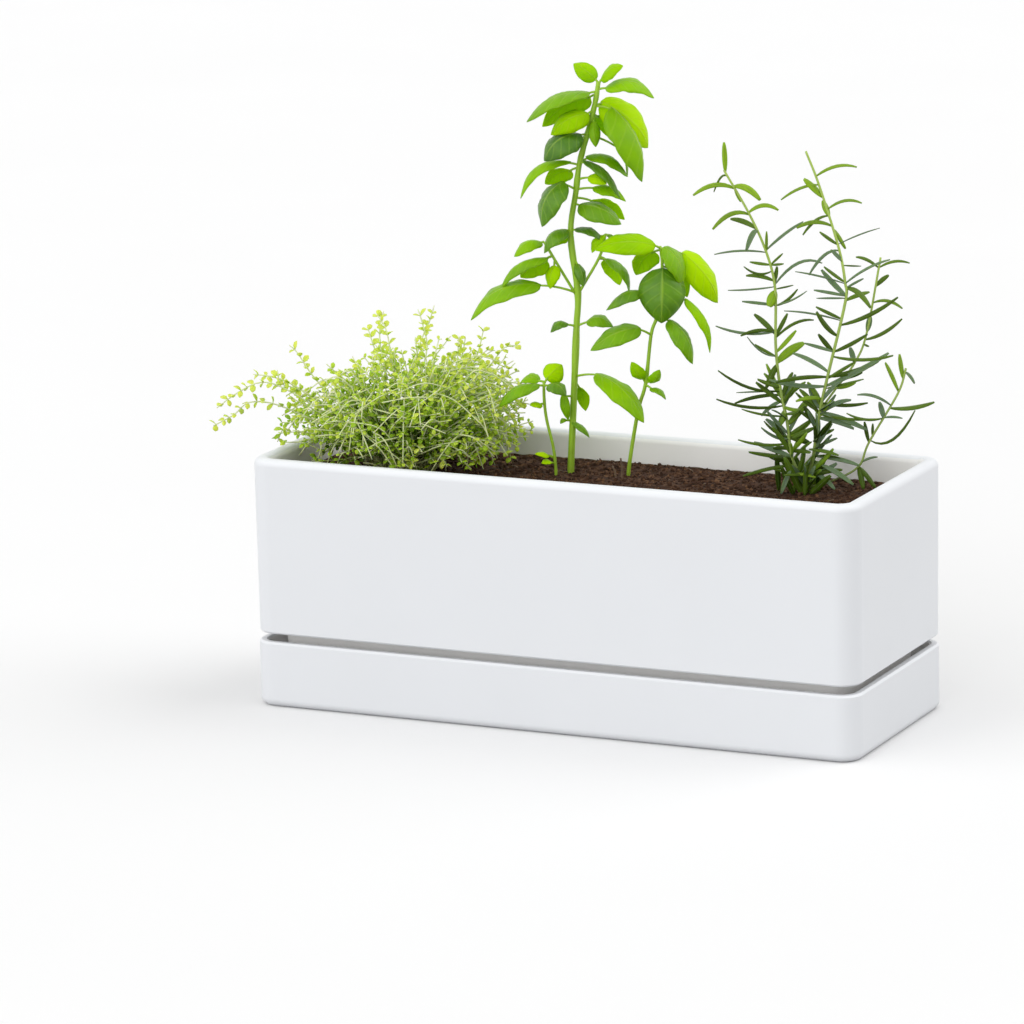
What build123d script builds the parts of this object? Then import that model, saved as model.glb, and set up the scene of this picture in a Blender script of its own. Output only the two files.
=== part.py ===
from build123d import *
import os
from math import atan, cos, degrees, pi, radians, sin, tan

os.makedirs("parts", exist_ok=True)

# Indoor herb planter: a long pot standing in a matching saucer, planted with thyme, basil and rosemary.
# Millimetres. X is the length, the front is -Y, Z is up, and the origin is the middle of the underside.

# Plan shared by pot and saucer
LENGTH = 320.0
WIDTH = 120.0
CORNER_RADIUS = 10.5

# Saucer
SAUCER_HEIGHT = 33.0
SAUCER_WALL = 4.6
SAUCER_FLOOR = 3.0
SAUCER_FOOT_ROUND = 4.0
SAUCER_RIM_CHAMFER = 1.0
STAND_RIB_HEIGHT = 9.0
STAND_RIB_WIDTH = 3.0
STAND_RIB_LENGTH = 96.0
STAND_RIB_SPACING = 56.0
STAND_RIB_GAP = 24.0

# Pot: a skirt folded over a rounded rim into a drafted basin
POT_TOP = 125.0
SKIRT_GAP = 4.2
SKIRT_WALL = 2.8
SKIRT_DRAFT = 0.25
SKIRT_EDGE_CHAMFER = 0.9
RIM_WIDTH = 7.6
RIM_ROUND = 3.3
RIM_DEPTH = 6.0
BASIN_WALL = 2.8
BASIN_FLOOR = 3.4
BASIN_DRAFT = 4.0
BASIN_CORNER = 4.0
BASIN_FOOT_CHAMFER = 2.5
STIFFENER = 2.0
STIFFENER_PITCH = 56.0
STIFFENER_COLUMNS = 5
STIFFENER_ROWS = 2
STIFFENER_LIFT = 24.0
DRAIN_DIAMETER = 8.0
DRAIN_COLUMNS = 3
DRAIN_ROWS = 2
DRAIN_PITCH = 84.0
DRAIN_ROWS_APART = 28.0

# Soil
SOIL_DROP = 13.0
SOIL_CLEARANCE = 0.3
SOIL_EDGE_CHAMFER = 1.5
PLANTING_DEPTH = 26.0
PLANTING_CLEARANCE = 0.3
SOIL_MOUND_HEIGHT = 1.2
SOIL_MOUND_RADIUS = 11.0
SOIL_MOUND_TOP_RADIUS = 5.5
SOIL_MOUND_SIDES = 6
# Low mounds on the soil: share of the length and of the width, from the middle of the plan
SOIL_MOUNDS = (
    (-0.12, -0.3), (-0.05, -0.17), (0.02, -0.31), (0.09, -0.16), (0.16, -0.31), (0.23, -0.17), (0.3, -0.31),
    (0.38, -0.25), (0.415, -0.04), (0.1, 0.05), (0.17, 0.03), (0.14, 0.24), (0.215, 0.2), (0.075, 0.32),
    (-0.03, 0.31), (-0.16, 0.27),
)

# Herbs: where each is planted, from the nearer end of the plan or from its middle, and its main sizes
SIGHT_TURN = 25.0
THYME_FROM_END = 54.0
THYME_FROM_BACK = 62.0
THYME_RADIUS = 42.0
THYME_HEIGHT = 62.0
THYME_CROWN = 14.0
THYME_SIDES = 14
# Thyme mound: share of its height and of its radius
THYME_SHAPE = ((0, 0.8), (0.5, 1.08), (0.75, 0.95), (0.92, 0.62), (1, 0.3))
THYME_SPRIGS = 10
THYME_PAIRS = 2
THYME_LONG_PAIRS = 3
THYME_LONG_PAIR_PITCH = 9.0
THYME_STEM = 1.3
THYME_LEAF = 4.6
THYME_LEAF_WIDTH = 3.2
THYME_BLADE = 0.8
THYME_SPLAY = 55.0
THYME_REACH = 16.0
THYME_PAIR_PITCH = 4.4
THYME_SPRIG_TURN = 137.5
THYME_SPRIG_ROOT = 0.8
THYME_SPRIG_LOWEST = 0.04
THYME_SPRIG_HIGHEST = 0.96
THYME_LEAST_REACH = 0.72
THYME_REACH_WAVE = 2.1
THYME_TIP_WAVE = 3.0
THYME_LEAF_TWIST = 40.0
THYME_LOBE = 0.05
BASIL_TALL_FROM_MIDDLE = -21.6
BASIL_TALL_FROM_BACK = 40.0
BASIL_YOUNG_FROM_MIDDLE = -25.7
BASIL_YOUNG_FROM_BACK = 49.0
BASIL_SIDE_FROM_MIDDLE = 8.3
BASIL_SIDE_FROM_BACK = 37.0
BASIL_TALL_STEM = 3.2
BASIL_TALL_TIP = 2.0
BASIL_SIDE_STEM = 1.8
BASIL_YOUNG_STEM = 1.4
BASIL_TIP_STEM = 1.3
BASIL_STALK = 1.2
SHORT_STALK = 5.0
BASIL_BLADE = 0.9
# Basil blades are tilted, so they are this much wider than they look
LEAF_FULLNESS = 1.25
LEAF_WIDEST = 0.44
# Leaf outline: share of the length, of the half width and of the arch
LEAF_STATIONS = ((0, 0, 0), (0.18, 0.8, 0.6), (0.44, 1, 1), (0.76, 0.76, 0.72), (1, 0, 0))
ROSEMARY_FROM_END = 56.0
ROSEMARY_FROM_BACK = 43.0
ROSEMARY_STEM = 1.8
ROSEMARY_TIP_STEM = 1.1
ROSEMARY_BLADE = 0.8

pot_bottom = SAUCER_FLOOR + STAND_RIB_HEIGHT
skirt_bottom = SAUCER_HEIGHT + SKIRT_GAP
groove_top = POT_TOP - RIM_DEPTH
basin_floor = pot_bottom + BASIN_FLOOR
soil_top = POT_TOP - SOIL_DROP


def skirt_inset(height):
    """Distance of the skirt's outer face inside the plan, growing downwards with the draft."""
    return (POT_TOP - height) * tan(radians(SKIRT_DRAFT))


def basin_inset(height):
    """Distance of the basin's inner face inside the plan, growing downwards with the draft."""
    return RIM_WIDTH + (POT_TOP - height) * tan(radians(BASIN_DRAFT))


def outline(inset, corner):
    """Rounded plan outline, this far inside the shared plan."""
    RectangleRounded(LENGTH - 2 * inset, WIDTH - 2 * inset, corner)


def drafted_block(top, bottom, inset, angle, corner):
    """Block with this inset at its top, sides that lean inwards below it and rounded upright corners."""
    with BuildPart() as block:
        with BuildSketch(Plane.XY.offset(bottom)):
            Rectangle(LENGTH - 2 * inset, WIDTH - 2 * inset)
        extrude(amount=top - bottom)
        sides = block.faces().filter_by(Axis.Z, reverse=True)
        draft(sides, Plane.XY.offset(top), -angle)
        fillet(block.edges().filter_by(Plane.XY, reverse=True), corner)
    return block.part


# Saucer: an open tray with standing ribs that keep the pot out of the drained water
with BuildPart() as saucer:
    with BuildSketch():
        outline(0, CORNER_RADIUS)
    extrude(amount=SAUCER_HEIGHT)
    fillet(saucer.faces().sort_by(Axis.Z)[0].edges(), SAUCER_FOOT_ROUND)
    with BuildSketch(Plane.XY.offset(SAUCER_FLOOR)):
        outline(SAUCER_WALL, CORNER_RADIUS - SAUCER_WALL)
    extrude(amount=SAUCER_HEIGHT - SAUCER_FLOOR, mode=Mode.SUBTRACT)
    chamfer(saucer.faces().sort_by(Axis.Z)[-1].edges(), SAUCER_RIM_CHAMFER)
    with BuildSketch(Plane.XY.offset(SAUCER_FLOOR)):
        with GridLocations(STAND_RIB_LENGTH + STAND_RIB_GAP, STAND_RIB_SPACING, 2, 2):
            Rectangle(STAND_RIB_LENGTH, STAND_RIB_WIDTH)
    extrude(amount=STAND_RIB_HEIGHT)
saucer.part.label = "saucer"

# Pot: outer skirt, groove under the rim, stiffeners across the groove, then the basin
skirt_block = drafted_block(POT_TOP, skirt_bottom, 0, SKIRT_DRAFT, CORNER_RADIUS)
groove_block = drafted_block(
    groove_top, skirt_bottom, skirt_inset(groove_top) + SKIRT_WALL, SKIRT_DRAFT, CORNER_RADIUS - SKIRT_WALL
)
basin_block = drafted_block(
    groove_top, pot_bottom, basin_inset(groove_top) - BASIN_WALL, BASIN_DRAFT, BASIN_CORNER + BASIN_WALL
)
cavity_block = drafted_block(POT_TOP, basin_floor, RIM_WIDTH, BASIN_DRAFT, BASIN_CORNER)
stiffener_foot = skirt_bottom + STIFFENER_LIFT
stiffener_ends = skirt_inset(skirt_bottom) + SKIRT_WALL / 2
with BuildPart() as pot:
    add(skirt_block)
    add(groove_block, mode=Mode.SUBTRACT)
    chamfer(pot.faces().sort_by(Axis.Z)[0].edges(), SKIRT_EDGE_CHAMFER)
    with BuildSketch(Plane.XY.offset(stiffener_foot)):
        with GridLocations(STIFFENER_PITCH, 0, STIFFENER_COLUMNS, 1):
            Rectangle(STIFFENER, WIDTH - 2 * stiffener_ends)
        with GridLocations(0, STIFFENER_PITCH, 1, STIFFENER_ROWS):
            Rectangle(LENGTH - 2 * stiffener_ends, STIFFENER)
    extrude(amount=groove_top - stiffener_foot)
    add(basin_block)
    chamfer(pot.faces().sort_by(Axis.Z)[0].edges(), BASIN_FOOT_CHAMFER)
    add(cavity_block, mode=Mode.SUBTRACT)
    fillet(pot.faces().sort_by(Axis.Z)[-1].edges(), RIM_ROUND)
    with BuildSketch(Plane.XY.offset(pot_bottom)):
        with GridLocations(DRAIN_PITCH, DRAIN_ROWS_APART, DRAIN_COLUMNS, DRAIN_ROWS):
            Circle(DRAIN_DIAMETER / 2)
    extrude(amount=BASIN_FLOOR, mode=Mode.SUBTRACT)
pot.part.label = "pot"

# Herbs are described as a viewer sees them who stands this far round from the front, towards +X:
# millimetres to the right of, above and nearer than the place where the stem leaves the soil.
sight_right = Vector(cos(radians(SIGHT_TURN)), sin(radians(SIGHT_TURN)), 0)
sight_near = Vector(sin(radians(SIGHT_TURN)), -cos(radians(SIGHT_TURN)), 0)
back = WIDTH / 2
thyme_foot = Vector(THYME_FROM_END - LENGTH / 2, back - THYME_FROM_BACK, soil_top)
basil_tall_foot = Vector(BASIL_TALL_FROM_MIDDLE, back - BASIL_TALL_FROM_BACK, soil_top)
basil_young_foot = Vector(BASIL_YOUNG_FROM_MIDDLE, back - BASIL_YOUNG_FROM_BACK, soil_top)
basil_side_foot = Vector(BASIL_SIDE_FROM_MIDDLE, back - BASIL_SIDE_FROM_BACK, soil_top)
rosemary_foot = Vector(LENGTH / 2 - ROSEMARY_FROM_END, back - ROSEMARY_FROM_BACK, soil_top)


def seen(foot, point):
    """Place of a point given as right of, above and nearer than the foot of its plant."""
    right, up, near = point
    return foot + sight_right * right + sight_near * near + Vector(0, 0, up)


def planted(points):
    """The points of a stem, carried straight down into its planting hole."""
    return [(0, -PLANTING_DEPTH, 0), (0, 3, 0)] + points


def skin(rings):
    """Solid with flat faces that join these rings of corners, closed by the first and the last ring."""
    outlines = [rings[0], rings[-1]]
    for low, high in zip(rings, rings[1:]):
        for corner in range(len(low)):
            outlines.append((low[corner - 1], low[corner], high[corner], high[corner - 1]))
    return Solid(Shell([Face(Wire.make_polygon(outline)) for outline in outlines]))


def stem(foot, points, thick, thin):
    """Square stem that tapers along these points, as the mint family's stems are square."""
    places = [seen(foot, point) for point in points]
    last = len(places) - 1
    rings = []
    for number, place in enumerate(places):
        half = (thick + (thin - thick) * number / last) / 2
        section = Plane(origin=place, x_dir=sight_near, z_dir=places[-1] - places[0])
        corners = ((half, half), (-half, half), (-half, -half), (half, -half))
        rings.append([section.from_local_coords(corner) for corner in corners])
    return skin(rings)


def blade(length, width, arch):
    """Pointed oval leaf from the origin along +X, arched upwards in flat stretches."""
    crest = [(along * length, rise * arch) for along, spread, rise in LEAF_STATIONS]
    underside = [(along, up - BASIL_BLADE) for along, up in reversed(crest)]
    edge = [(along * length, spread * width / 2) for along, spread, rise in LEAF_STATIONS]
    other_edge = [(along, -across) for along, across in reversed(edge[1:-1])]
    with BuildPart() as leaf:
        with BuildSketch(Plane.XZ):
            with BuildLine():
                Polyline(*crest, *underside, close=True)
            make_face()
        extrude(amount=width, both=True)
        with BuildSketch(Plane.XY.offset(-BASIL_BLADE)):
            with BuildLine():
                Polyline(*edge, *other_edge, close=True)
            make_face()
        extrude(amount=arch + 2 * BASIL_BLADE, mode=Mode.INTERSECT)
    return leaf.part


def stalk(start, end, thickness):
    """Straight square stalk between two places."""
    with BuildPart() as twig:
        with BuildSketch(Plane(origin=start, z_dir=end - start)):
            Rectangle(thickness, thickness)
        extrude(amount=(end - start).length)
    return twig.part


def facing(start, end, face):
    """Plane at start with X towards end and Z as near to the face direction as that allows."""
    along = (end - start).normalized()
    upward = (face - along * face.dot(along)).normalized()
    return Plane(origin=start, x_dir=along, z_dir=upward)


def basil_leaf(foot, node, base, tip, width, arch, face):
    """One leaf from its node on the stem to the tip of the blade, on a stalk unless it sits close."""
    joint = seen(foot, node)
    start = seen(foot, base)
    end = seen(foot, tip)
    upper_face = sight_right * face[0] + Vector(0, 0, face[1]) + sight_near * face[2]
    stalked = (start - joint).length > SHORT_STALK
    place = facing(start if stalked else joint, end, upper_face)
    pieces = [blade((end - place.origin).length, LEAF_FULLNESS * width, arch).moved(place.location)]
    if stalked:
        pieces.append(stalk(joint, start + place.x_dir * BASIL_STALK, BASIL_STALK))
    return pieces


def basil(foot, stems, leaves):
    """All pieces of one basil plant: its stems, then its leaves."""
    pieces = [stem(foot, points, thick, thin) for points, thick, thin in stems]
    for row in leaves:
        pieces += basil_leaf(foot, *row)
    return pieces


# Basil leaves: node on the stem, base and tip of the blade, width, arch and where the upper face looks
basil_tall_stems = [
    (planted([(2, 36, 0), (4, 72, 0), (5, 90, 0), (2, 119, 0), (5, 140, 0), (7, 154, 0), (11, 168, 0),
              (15, 183, 0), (17, 194, 0)]), BASIL_TALL_STEM, BASIL_TALL_TIP),
    ([(4, 89, 0), (-7, 108, -2), (-11, 115, -3)], BASIL_TIP_STEM, BASIL_STALK),
    ([(5, 89, 0), (16, 108, 2), (19, 119, 3)], BASIL_TIP_STEM, BASIL_STALK),
]
basil_tall_leaves = [
    ((3, 48, 0), (13, 51, 7), (37, 31, 23), 14, 4, (0.4, 0.8, 0.5)),
    ((3, 45, 0), (5, 42, -4), (8, 29, -9), 7, 2, (0.3, 0.4, -0.8)),
    ((4, 73, 0), (0, 75, 2), (-9, 72, 4), 6, 3, (0, 1, 0.4)),
    ((4, 73, 0), (9, 76, 2), (22, 74, 5), 9, 4, (0, 1, 0.5)),
    ((4, 90, 0), (-13, 95, 3), (-49, 83, 8), 14, 6, (0, 1, 0.35)),
    ((-11, 115, -3), (-12, 115, -3), (-26, 109, 1), 9, 4, (-0.2, 1, 0.4)),
    ((-7, 108, -2), (-9, 108, 1), (-34, 97, 6), 9, 4, (-0.1, 1, 0.15)),
    ((-7, 108, -2), (-10, 106, -5), (-23, 97, -11), 13, 3, (-0.3, 0.7, -0.6)),
    ((-6, 106, -2), (-6, 104, 1), (-9, 93, 4), 8, 2, (-0.5, 0.4, 0.8)),
    ((4, 106, 0), (5, 105, 3), (8, 94, 6), 6, 2, (0.4, 0.4, 0.8)),
    ((16, 108, 2), (19, 107, 2), (32, 91, 2), 9, 4, (0.6, 0.8, 0.3)),
    ((16, 107, 2), (19, 106, -3), (26, 92, -9), 10, 3, (0.4, 0.6, -0.6)),
    ((19, 119, 3), (18, 119, 4), (12, 111, 7), 6, 2, (-0.4, 0.8, 0.5)),
    ((19, 119, 3), (20, 119, 1), (26, 112, -3), 7, 2, (0.5, 0.8, 0)),
    ((2, 121, 0), (0, 122, 2), (-12, 112, 6), 12, 4, (-0.5, 0.9, 0.3)),
    ((2, 121, 0), (4, 122, 2), (19, 116, 5), 7, 3, (0.3, 0.9, 0.3)),
    ((2, 120, 0), (0, 119, -3), (-8, 112, -9), 10, 3, (-0.3, 0.7, -0.6)),
    ((4, 134, 0), (6, 134, 3), (27, 126, 9), 13, 4, (0.2, 0.8, 0.6)),
    ((5, 141, 0), (13, 142, 0), (30, 137, 1), 9, 3, (0.1, 1, 0.3)),
    ((5, 137, 0), (12, 135, -4), (29, 126, -8), 10, 3, (0.4, 0.8, -0.3)),
    ((5, 141, 0), (-1, 146, 3), (-13, 125, 8), 17, 5, (-0.7, 0.5, 0.5)),
    ((7, 153, 0), (3, 155, 0), (-24, 141, 2), 9, 6, (0, 1, 0.2)),
    ((7, 152, 0), (3, 150, -4), (-10, 143, -11), 11, 3, (-0.3, 0.8, -0.4)),
    ((7, 154, 0), (9, 156, 3), (27, 138, 8), 8, 4, (0.6, 0.8, 0.3)),
    ((7, 154, 0), (10, 157, -2), (31, 147, -4), 11, 5, (0.4, 0.9, 0.2)),
    ((6, 146, 0), (11, 148, 4), (20, 145, 8), 6, 2, (0.2, 1, 0.3)),
    ((11, 168, 0), (8, 169, 3), (-11, 159, 9), 16, 5, (-0.3, 0.8, 0.6)),
    ((11, 167, 0), (8, 166, -4), (-5, 157, -11), 12, 3, (-0.3, 0.8, -0.4)),
    ((11, 168, 0), (24, 163, -4), (31, 146, -7), 8, 3, (0.8, 0.5, 0)),
    ((15, 182, 0), (23, 182, 3), (40, 147, 9), 20, 5, (0.75, 0.5, 0.4)),
    ((15, 182, 0), (18, 184, -3), (43, 161, -7), 18, 5, (0.6, 0.8, 0)),
    ((15, 180, 0), (12, 179, 3), (-7, 171, 8), 12, 4, (-0.3, 0.9, 0.4)),
    ((14, 178, 0), (16, 177, -4), (22, 165, -11), 9, 3, (0.3, 0.6, -0.7)),
    ((14, 176, 0), (14, 175, 3), (15, 163, 7), 6, 2, (0, 0.4, 0.9)),
    ((16, 189, 0), (13, 189, 1), (-19, 177, 4), 14, 5, (-0.2, 1, 0.2)),
    ((16, 188, 0), (13, 186, -3), (-11, 173, -10), 14, 4, (-0.3, 0.9, -0.3)),
    ((16, 190, 0), (20, 191, 1), (44, 189, 4), 14, 5, (0.1, 1, 0.3)),
    ((17, 193, 0), (16, 195, 0), (5, 203, -4), 9, 2, (-0.5, 0.7, 0.5)),
    ((17, 193, 0), (18, 195, 0), (28, 203, 5), 9, 2, (0.4, 0.8, 0.5)),
]
basil_side_stems = [
    (planted([(5, 32, 0), (9, 46, 0), (12, 70, 0), (15, 79, 0), (17, 92, 0), (18, 106, 0), (17, 114, 0)]),
     BASIL_SIDE_STEM, BASIL_TIP_STEM),
]
basil_side_leaves = [
    ((12, 70, 0), (7, 74, 2), (-18, 65, 8), 12, 4, (-0.1, 0.8, 0.6)),
    ((15, 79, 0), (21, 78, 2), (33, 57, 7), 12, 4, (0.6, 0.6, 0.5)),
    ((17, 91, 0), (9, 92, 1), (-10, 84, 4), 9, 4, (-0.1, 0.95, 0.35)),
    ((17, 90, 0), (29, 88, 0), (43, 62, 2), 9, 4, (0.75, 0.6, 0.3)),
    ((18, 105, 0), (18, 104, 4), (17, 78, 11), 23, 4, (0, 0.35, 0.95)),
    ((17, 113, 0), (15, 115, 2), (-15, 116, 7), 13, 3, (0, 0.75, 0.65)),
    ((17, 113, 0), (19, 114, 1), (29, 95, 3), 14, 4, (0.6, 0.6, 0.5)),
    ((17, 112, 0), (28, 110, -5), (47, 84, -9), 15, 4, (0.7, 0.6, 0.2)),
    ((17, 112, 0), (14, 111, -4), (5, 99, -11), 13, 3, (-0.3, 0.6, -0.7)),
    ((18, 104, 0), (22, 102, -5), (31, 88, -11), 10, 3, (0.4, 0.6, -0.7)),
    ((9, 46, 0), (8, 48, 1), (2, 57, 4), 7, 2, (-0.5, 0.4, 0.8)),
    ((9, 46, 0), (11, 46, 1), (16, 53, 4), 6, 2, (0.5, 0.3, 0.8)),
    ((9, 45, 0), (11, 44, 3), (19, 40, 7), 5, 2, (0.3, 0.9, 0.3)),
]
basil_young_stems = [
    (planted([(-1, 14, 0), (-4, 28, 0), (-5, 38, 0), (-5, 47, 0)]), BASIL_YOUNG_STEM, BASIL_TIP_STEM),
]
basil_young_leaves = [
    ((-5, 45, 0), (-7, 46, 1), (-28, 37, 4), 9, 4, (-0.1, 0.95, 0.35)),
    ((-5, 47, 0), (-7, 47, -2), (-17, 46, -7), 8, 3, (-0.1, 0.9, 0.3)),
    ((-5, 45, 0), (-3, 46, 2), (6, 42, 7), 9, 3, (0.3, 0.8, 0.5)),
    ((-5, 46, 0), (-4, 48, -1), (4, 55, -3), 11, 2, (0, 0.5, 0.85)),
    ((-5, 36, 0), (-6, 36, 2), (-12, 37, 5), 5, 1, (-0.1, 0.9, 0.4)),
    ((-1, 9, 0), (-3, 10, 1), (-10, 12, 3), 4, 1, (0, 0.9, 0.4)),
]

basil_tall_pieces = basil(basil_tall_foot, basil_tall_stems, basil_tall_leaves)
basil_side_pieces = basil(basil_side_foot, basil_side_stems, basil_side_leaves)
basil_young_pieces = basil(basil_young_foot, basil_young_stems, basil_young_leaves)

with BuildPart() as basil_tall:
    add(basil_tall_pieces)
basil_tall.part.label = "basil_tall"

with BuildPart() as basil_side:
    add(basil_side_pieces)
basil_side.part.label = "basil_side"

with BuildPart() as basil_young:
    add(basil_young_pieces)
basil_young.part.label = "basil_young"


def flat_leaf(length, width, thickness):
    """Small flat-faced leaf from the origin along +X, pointed at both ends."""
    with BuildPart() as leaf:
        with BuildSketch():
            with BuildLine():
                half_way = LEAF_WIDEST * length
                Polyline((0, 0), (half_way, width / 2), (length, 0), (half_way, -width / 2), close=True)
            make_face()
        extrude(amount=thickness / 2, both=True)
    return leaf.part


def at_height(points, height):
    """Point of a stem at this height above the soil."""
    for low, high in zip(points, points[1:]):
        if low[1] <= height <= high[1]:
            share = (height - low[1]) / (high[1] - low[1])
            return tuple(a + (b - a) * share for a, b in zip(low, high))
    return points[-1]


def leaf_pair(place, heading, turn, splay, length, width, thickness):
    """Two opposite leaves at one place on a stem, splayed this far from its heading."""
    aside = heading.cross(sight_near).normalized()
    onward = heading.cross(aside)
    pair = []
    for angle in (radians(turn), radians(turn) + pi):
        around = aside * cos(angle) + onward * sin(angle)
        direction = heading * cos(radians(splay)) + around * sin(radians(splay))
        leaf = flat_leaf(length, width, thickness)
        pair.append(leaf.moved(facing(place, place + direction, heading).location))
    return pair


def rosemary_sprig(points, thick, leaves):
    """One rosemary stem with its narrow leaves."""
    pieces = [stem(rosemary_foot, points, thick, ROSEMARY_TIP_STEM)]
    upper_face = sight_near + Vector(0, 0, 1)
    for height, tip, width in leaves:
        start = seen(rosemary_foot, at_height(points, height))
        end = seen(rosemary_foot, tip)
        leaf = flat_leaf((end - start).length, width, ROSEMARY_BLADE)
        pieces.append(leaf.moved(facing(start, end, upper_face).location))
    return pieces


# Rosemary: two tall stems from one foot, a branch of the right one and a low branch to the right
rosemary_left = planted([(-6, 17, -1), (-8, 34, -3), (-11, 50, -6), (-13, 71, -6), (-13, 99, -6), (-17, 117, -5),
                         (-25, 136, -4), (-37, 158, -2)])
rosemary_right = [(0, 1, 0), (4, 17, 2), (7, 38, 4), (11, 57, 6), (20, 94, 6), (20, 104, 6), (17, 121, 5),
                  (8, 151, 3), (2, 167, 2)]
rosemary_branch = [(8, 42, 5), (15, 50, 0), (25, 62, -6), (31, 76, -8), (38, 113, -8)]
rosemary_low = [(0, 2, 0), (14, 6, 2), (26, 13, 4), (31, 25, 5), (45, 49, 6), (49, 61, 5)]
# Rosemary leaves: height where each leaves its stem, its tip and its width
rosemary_left_leaves = [
    (157, (-37, 172, 2), 2.1), (149, (-52, 146, -3), 2.2), (150, (-20, 144, 3), 2.8),
    (137, (-11, 138, -3), 2.3), (136, (-43, 130, 1), 2.2), (129, (-34, 133, -10), 2.2), (128, (-27, 119, 0), 2.2),
    (118, (1, 131, -9), 1.4), (111, (-25, 112, -9), 1.4), (103, (-27, 106, -5), 1.8), (101, (10, 110, -12), 1.4),
    (102, (-12, 110, -6), 1.7), (98, (-16, 91, -3), 4),
    (77, (-23, 86, -11), 2.3), (78, (-42, 82, -3), 1.4), (78, (-30, 77, -3), 1.6), (76, (-7, 86, -11), 1.8),
    (75, (5, 85, 2), 1.4), (68, (-3, 78, -9), 2), (66, (-23, 72, -7), 1.8), (63, (1, 71, -13), 3.6),
    (62, (-18, 51, -3), 2.6), (49, (-41, 60, -4), 1.5), (51, (-22, 56, -1), 2.4), (47, (-33, 42, -12), 1.7),
    (42, (-42, 46, -4), 1.6), (44, (-20, 36, -10), 2), (40, (-12, 33, -1), 3.2), (33, (3, 45, -5), 3),
    (44, (-3, 51, -7), 2.4), (26, (-21, 33, 4), 1.7), (24, (-32, 27, 2), 1.4),
    (27, (3, 24, 0), 3), (17, (-24, 23, -9), 2.6), (17, (-27, 22, 7), 2.4), (21, (-15, 21, -4), 1.8),
]
rosemary_right_leaves = [
    (155, (26, 160, 8), 1.8), (145, (1, 154, 3), 3.2), (151, (-10, 143, -3), 1.6), (139, (28, 143, 11), 1.6),
    (136, (10, 143, 1), 2.6), (131, (-3, 131, 8), 1.9), (130, (21, 119, -1), 3),
    (122, (8, 129, 9), 1.5), (119, (3, 107, 2), 1.4), (114, (13, 120, 8), 2), (104, (10, 112, 8), 1.8),
    (97, (9, 109, 0), 2.2), (103, (41, 116, 16), 1.6), (97, (5, 100, 5), 1.6), (95, (32, 98, 1), 2),
    (101, (32, 92, 11), 2.6), (86, (6, 92, 5), 1.6), (78, (6, 91, 13), 2.6), (83, (46, 94, -5), 1.9),
    (70, (7, 79, 7), 2.2), (70, (0, 75, 9), 1.6), (70, (31, 77, -1), 1.8), (68, (42, 70, 17), 2.2),
    (58, (36, 64, 1), 2.2), (53, (41, 68, 2), 2.4), (57, (24, 66, 12), 1.6), (60, (-5, 68, -2), 2),
    (58, (-14, 57, 12), 2.4), (53, (-17, 57, 7), 2.2), (42, (3, 52, 0), 3.6), (45, (31, 43, -2), 1.6),
    (40, (30, 31, 5), 2.6), (37, (24, 30, -3), 2.6), (28, (14, 32, 6), 1.8), (33, (0, 43, 3), 2.4),
    (22, (16, 26, -1), 1.6),
]
rosemary_branch_leaves = [
    (108, (26, 114, -5), 1.6), (99, (42, 104, -10), 2), (91, (48, 89, -2), 1.8),
    (77, (33, 84, -11), 2.4), (73, (48, 83, -7), 1.8), (62, (23, 69, -9), 2.2), (55, (28, 59, 3), 1.6),
]
rosemary_low_leaves = [
    (50, (39, 65, 10), 2.4), (56, (46, 68, 5), 2.1), (59, (53, 53, 3), 2),
    (42, (63, 43, -1), 2.3), (37, (36, 45, 6), 2.2), (26, (54, 38, -6), 1.4), (25, (29, 35, 4), 1.8),
    (13, (28, 3, 10), 2.4), (13, (34, 3, 9), 2.2),
]
rosemary_pieces = rosemary_sprig(rosemary_left, ROSEMARY_STEM, rosemary_left_leaves)
rosemary_pieces += rosemary_sprig(rosemary_right, ROSEMARY_STEM, rosemary_right_leaves)
rosemary_pieces += rosemary_sprig(rosemary_branch, ROSEMARY_TIP_STEM, rosemary_branch_leaves)
rosemary_pieces += rosemary_sprig(rosemary_low, ROSEMARY_TIP_STEM, rosemary_low_leaves)

with BuildPart() as rosemary:
    add(rosemary_pieces)
rosemary.part.label = "rosemary"


def thyme_sprig(inner, outer, first_turn, pairs, pitch):
    """Straight thyme stem with pairs of small leaves, counted back from its end."""
    heading = (outer - inner).normalized()
    pieces = [stalk(inner, outer, THYME_STEM)]
    for pair in range(pairs):
        place = outer - heading * (THYME_STEM / 2 + pitch * pair)
        turn = first_turn + 90 * pair
        pieces += leaf_pair(place, heading, turn, THYME_SPLAY, THYME_LEAF, THYME_LEAF_WIDTH, THYME_BLADE)
    return pieces


# Thyme: a dense low mound on a woody crown, with sprigs standing out of it all round
thyme_middle = thyme_foot + Vector(0, 0, THYME_HEIGHT / 3)
thyme_sprigs = []
for number in range(THYME_SPRIGS):
    turn = radians(THYME_SPRIG_TURN * number)
    rise_share = (number + 0.5) / THYME_SPRIGS
    rise = THYME_SPRIG_LOWEST + (THYME_SPRIG_HIGHEST - THYME_SPRIG_LOWEST) * rise_share
    level = (1 - rise ** 2) ** 0.5
    outward = Vector(level * cos(turn), level * sin(turn), rise)
    reach_share = THYME_LEAST_REACH + (1 - THYME_LEAST_REACH) * sin(THYME_REACH_WAVE * number)
    reach = THYME_RADIUS + THYME_REACH * reach_share
    inner = thyme_middle + outward * (THYME_SPRIG_ROOT * THYME_RADIUS)
    outer = thyme_middle + outward * reach + Vector(0, 0, THYME_TIP_WAVE * sin(number))
    thyme_sprigs += thyme_sprig(inner, outer, THYME_LEAF_TWIST * number, THYME_PAIRS, THYME_PAIR_PITCH)

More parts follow.
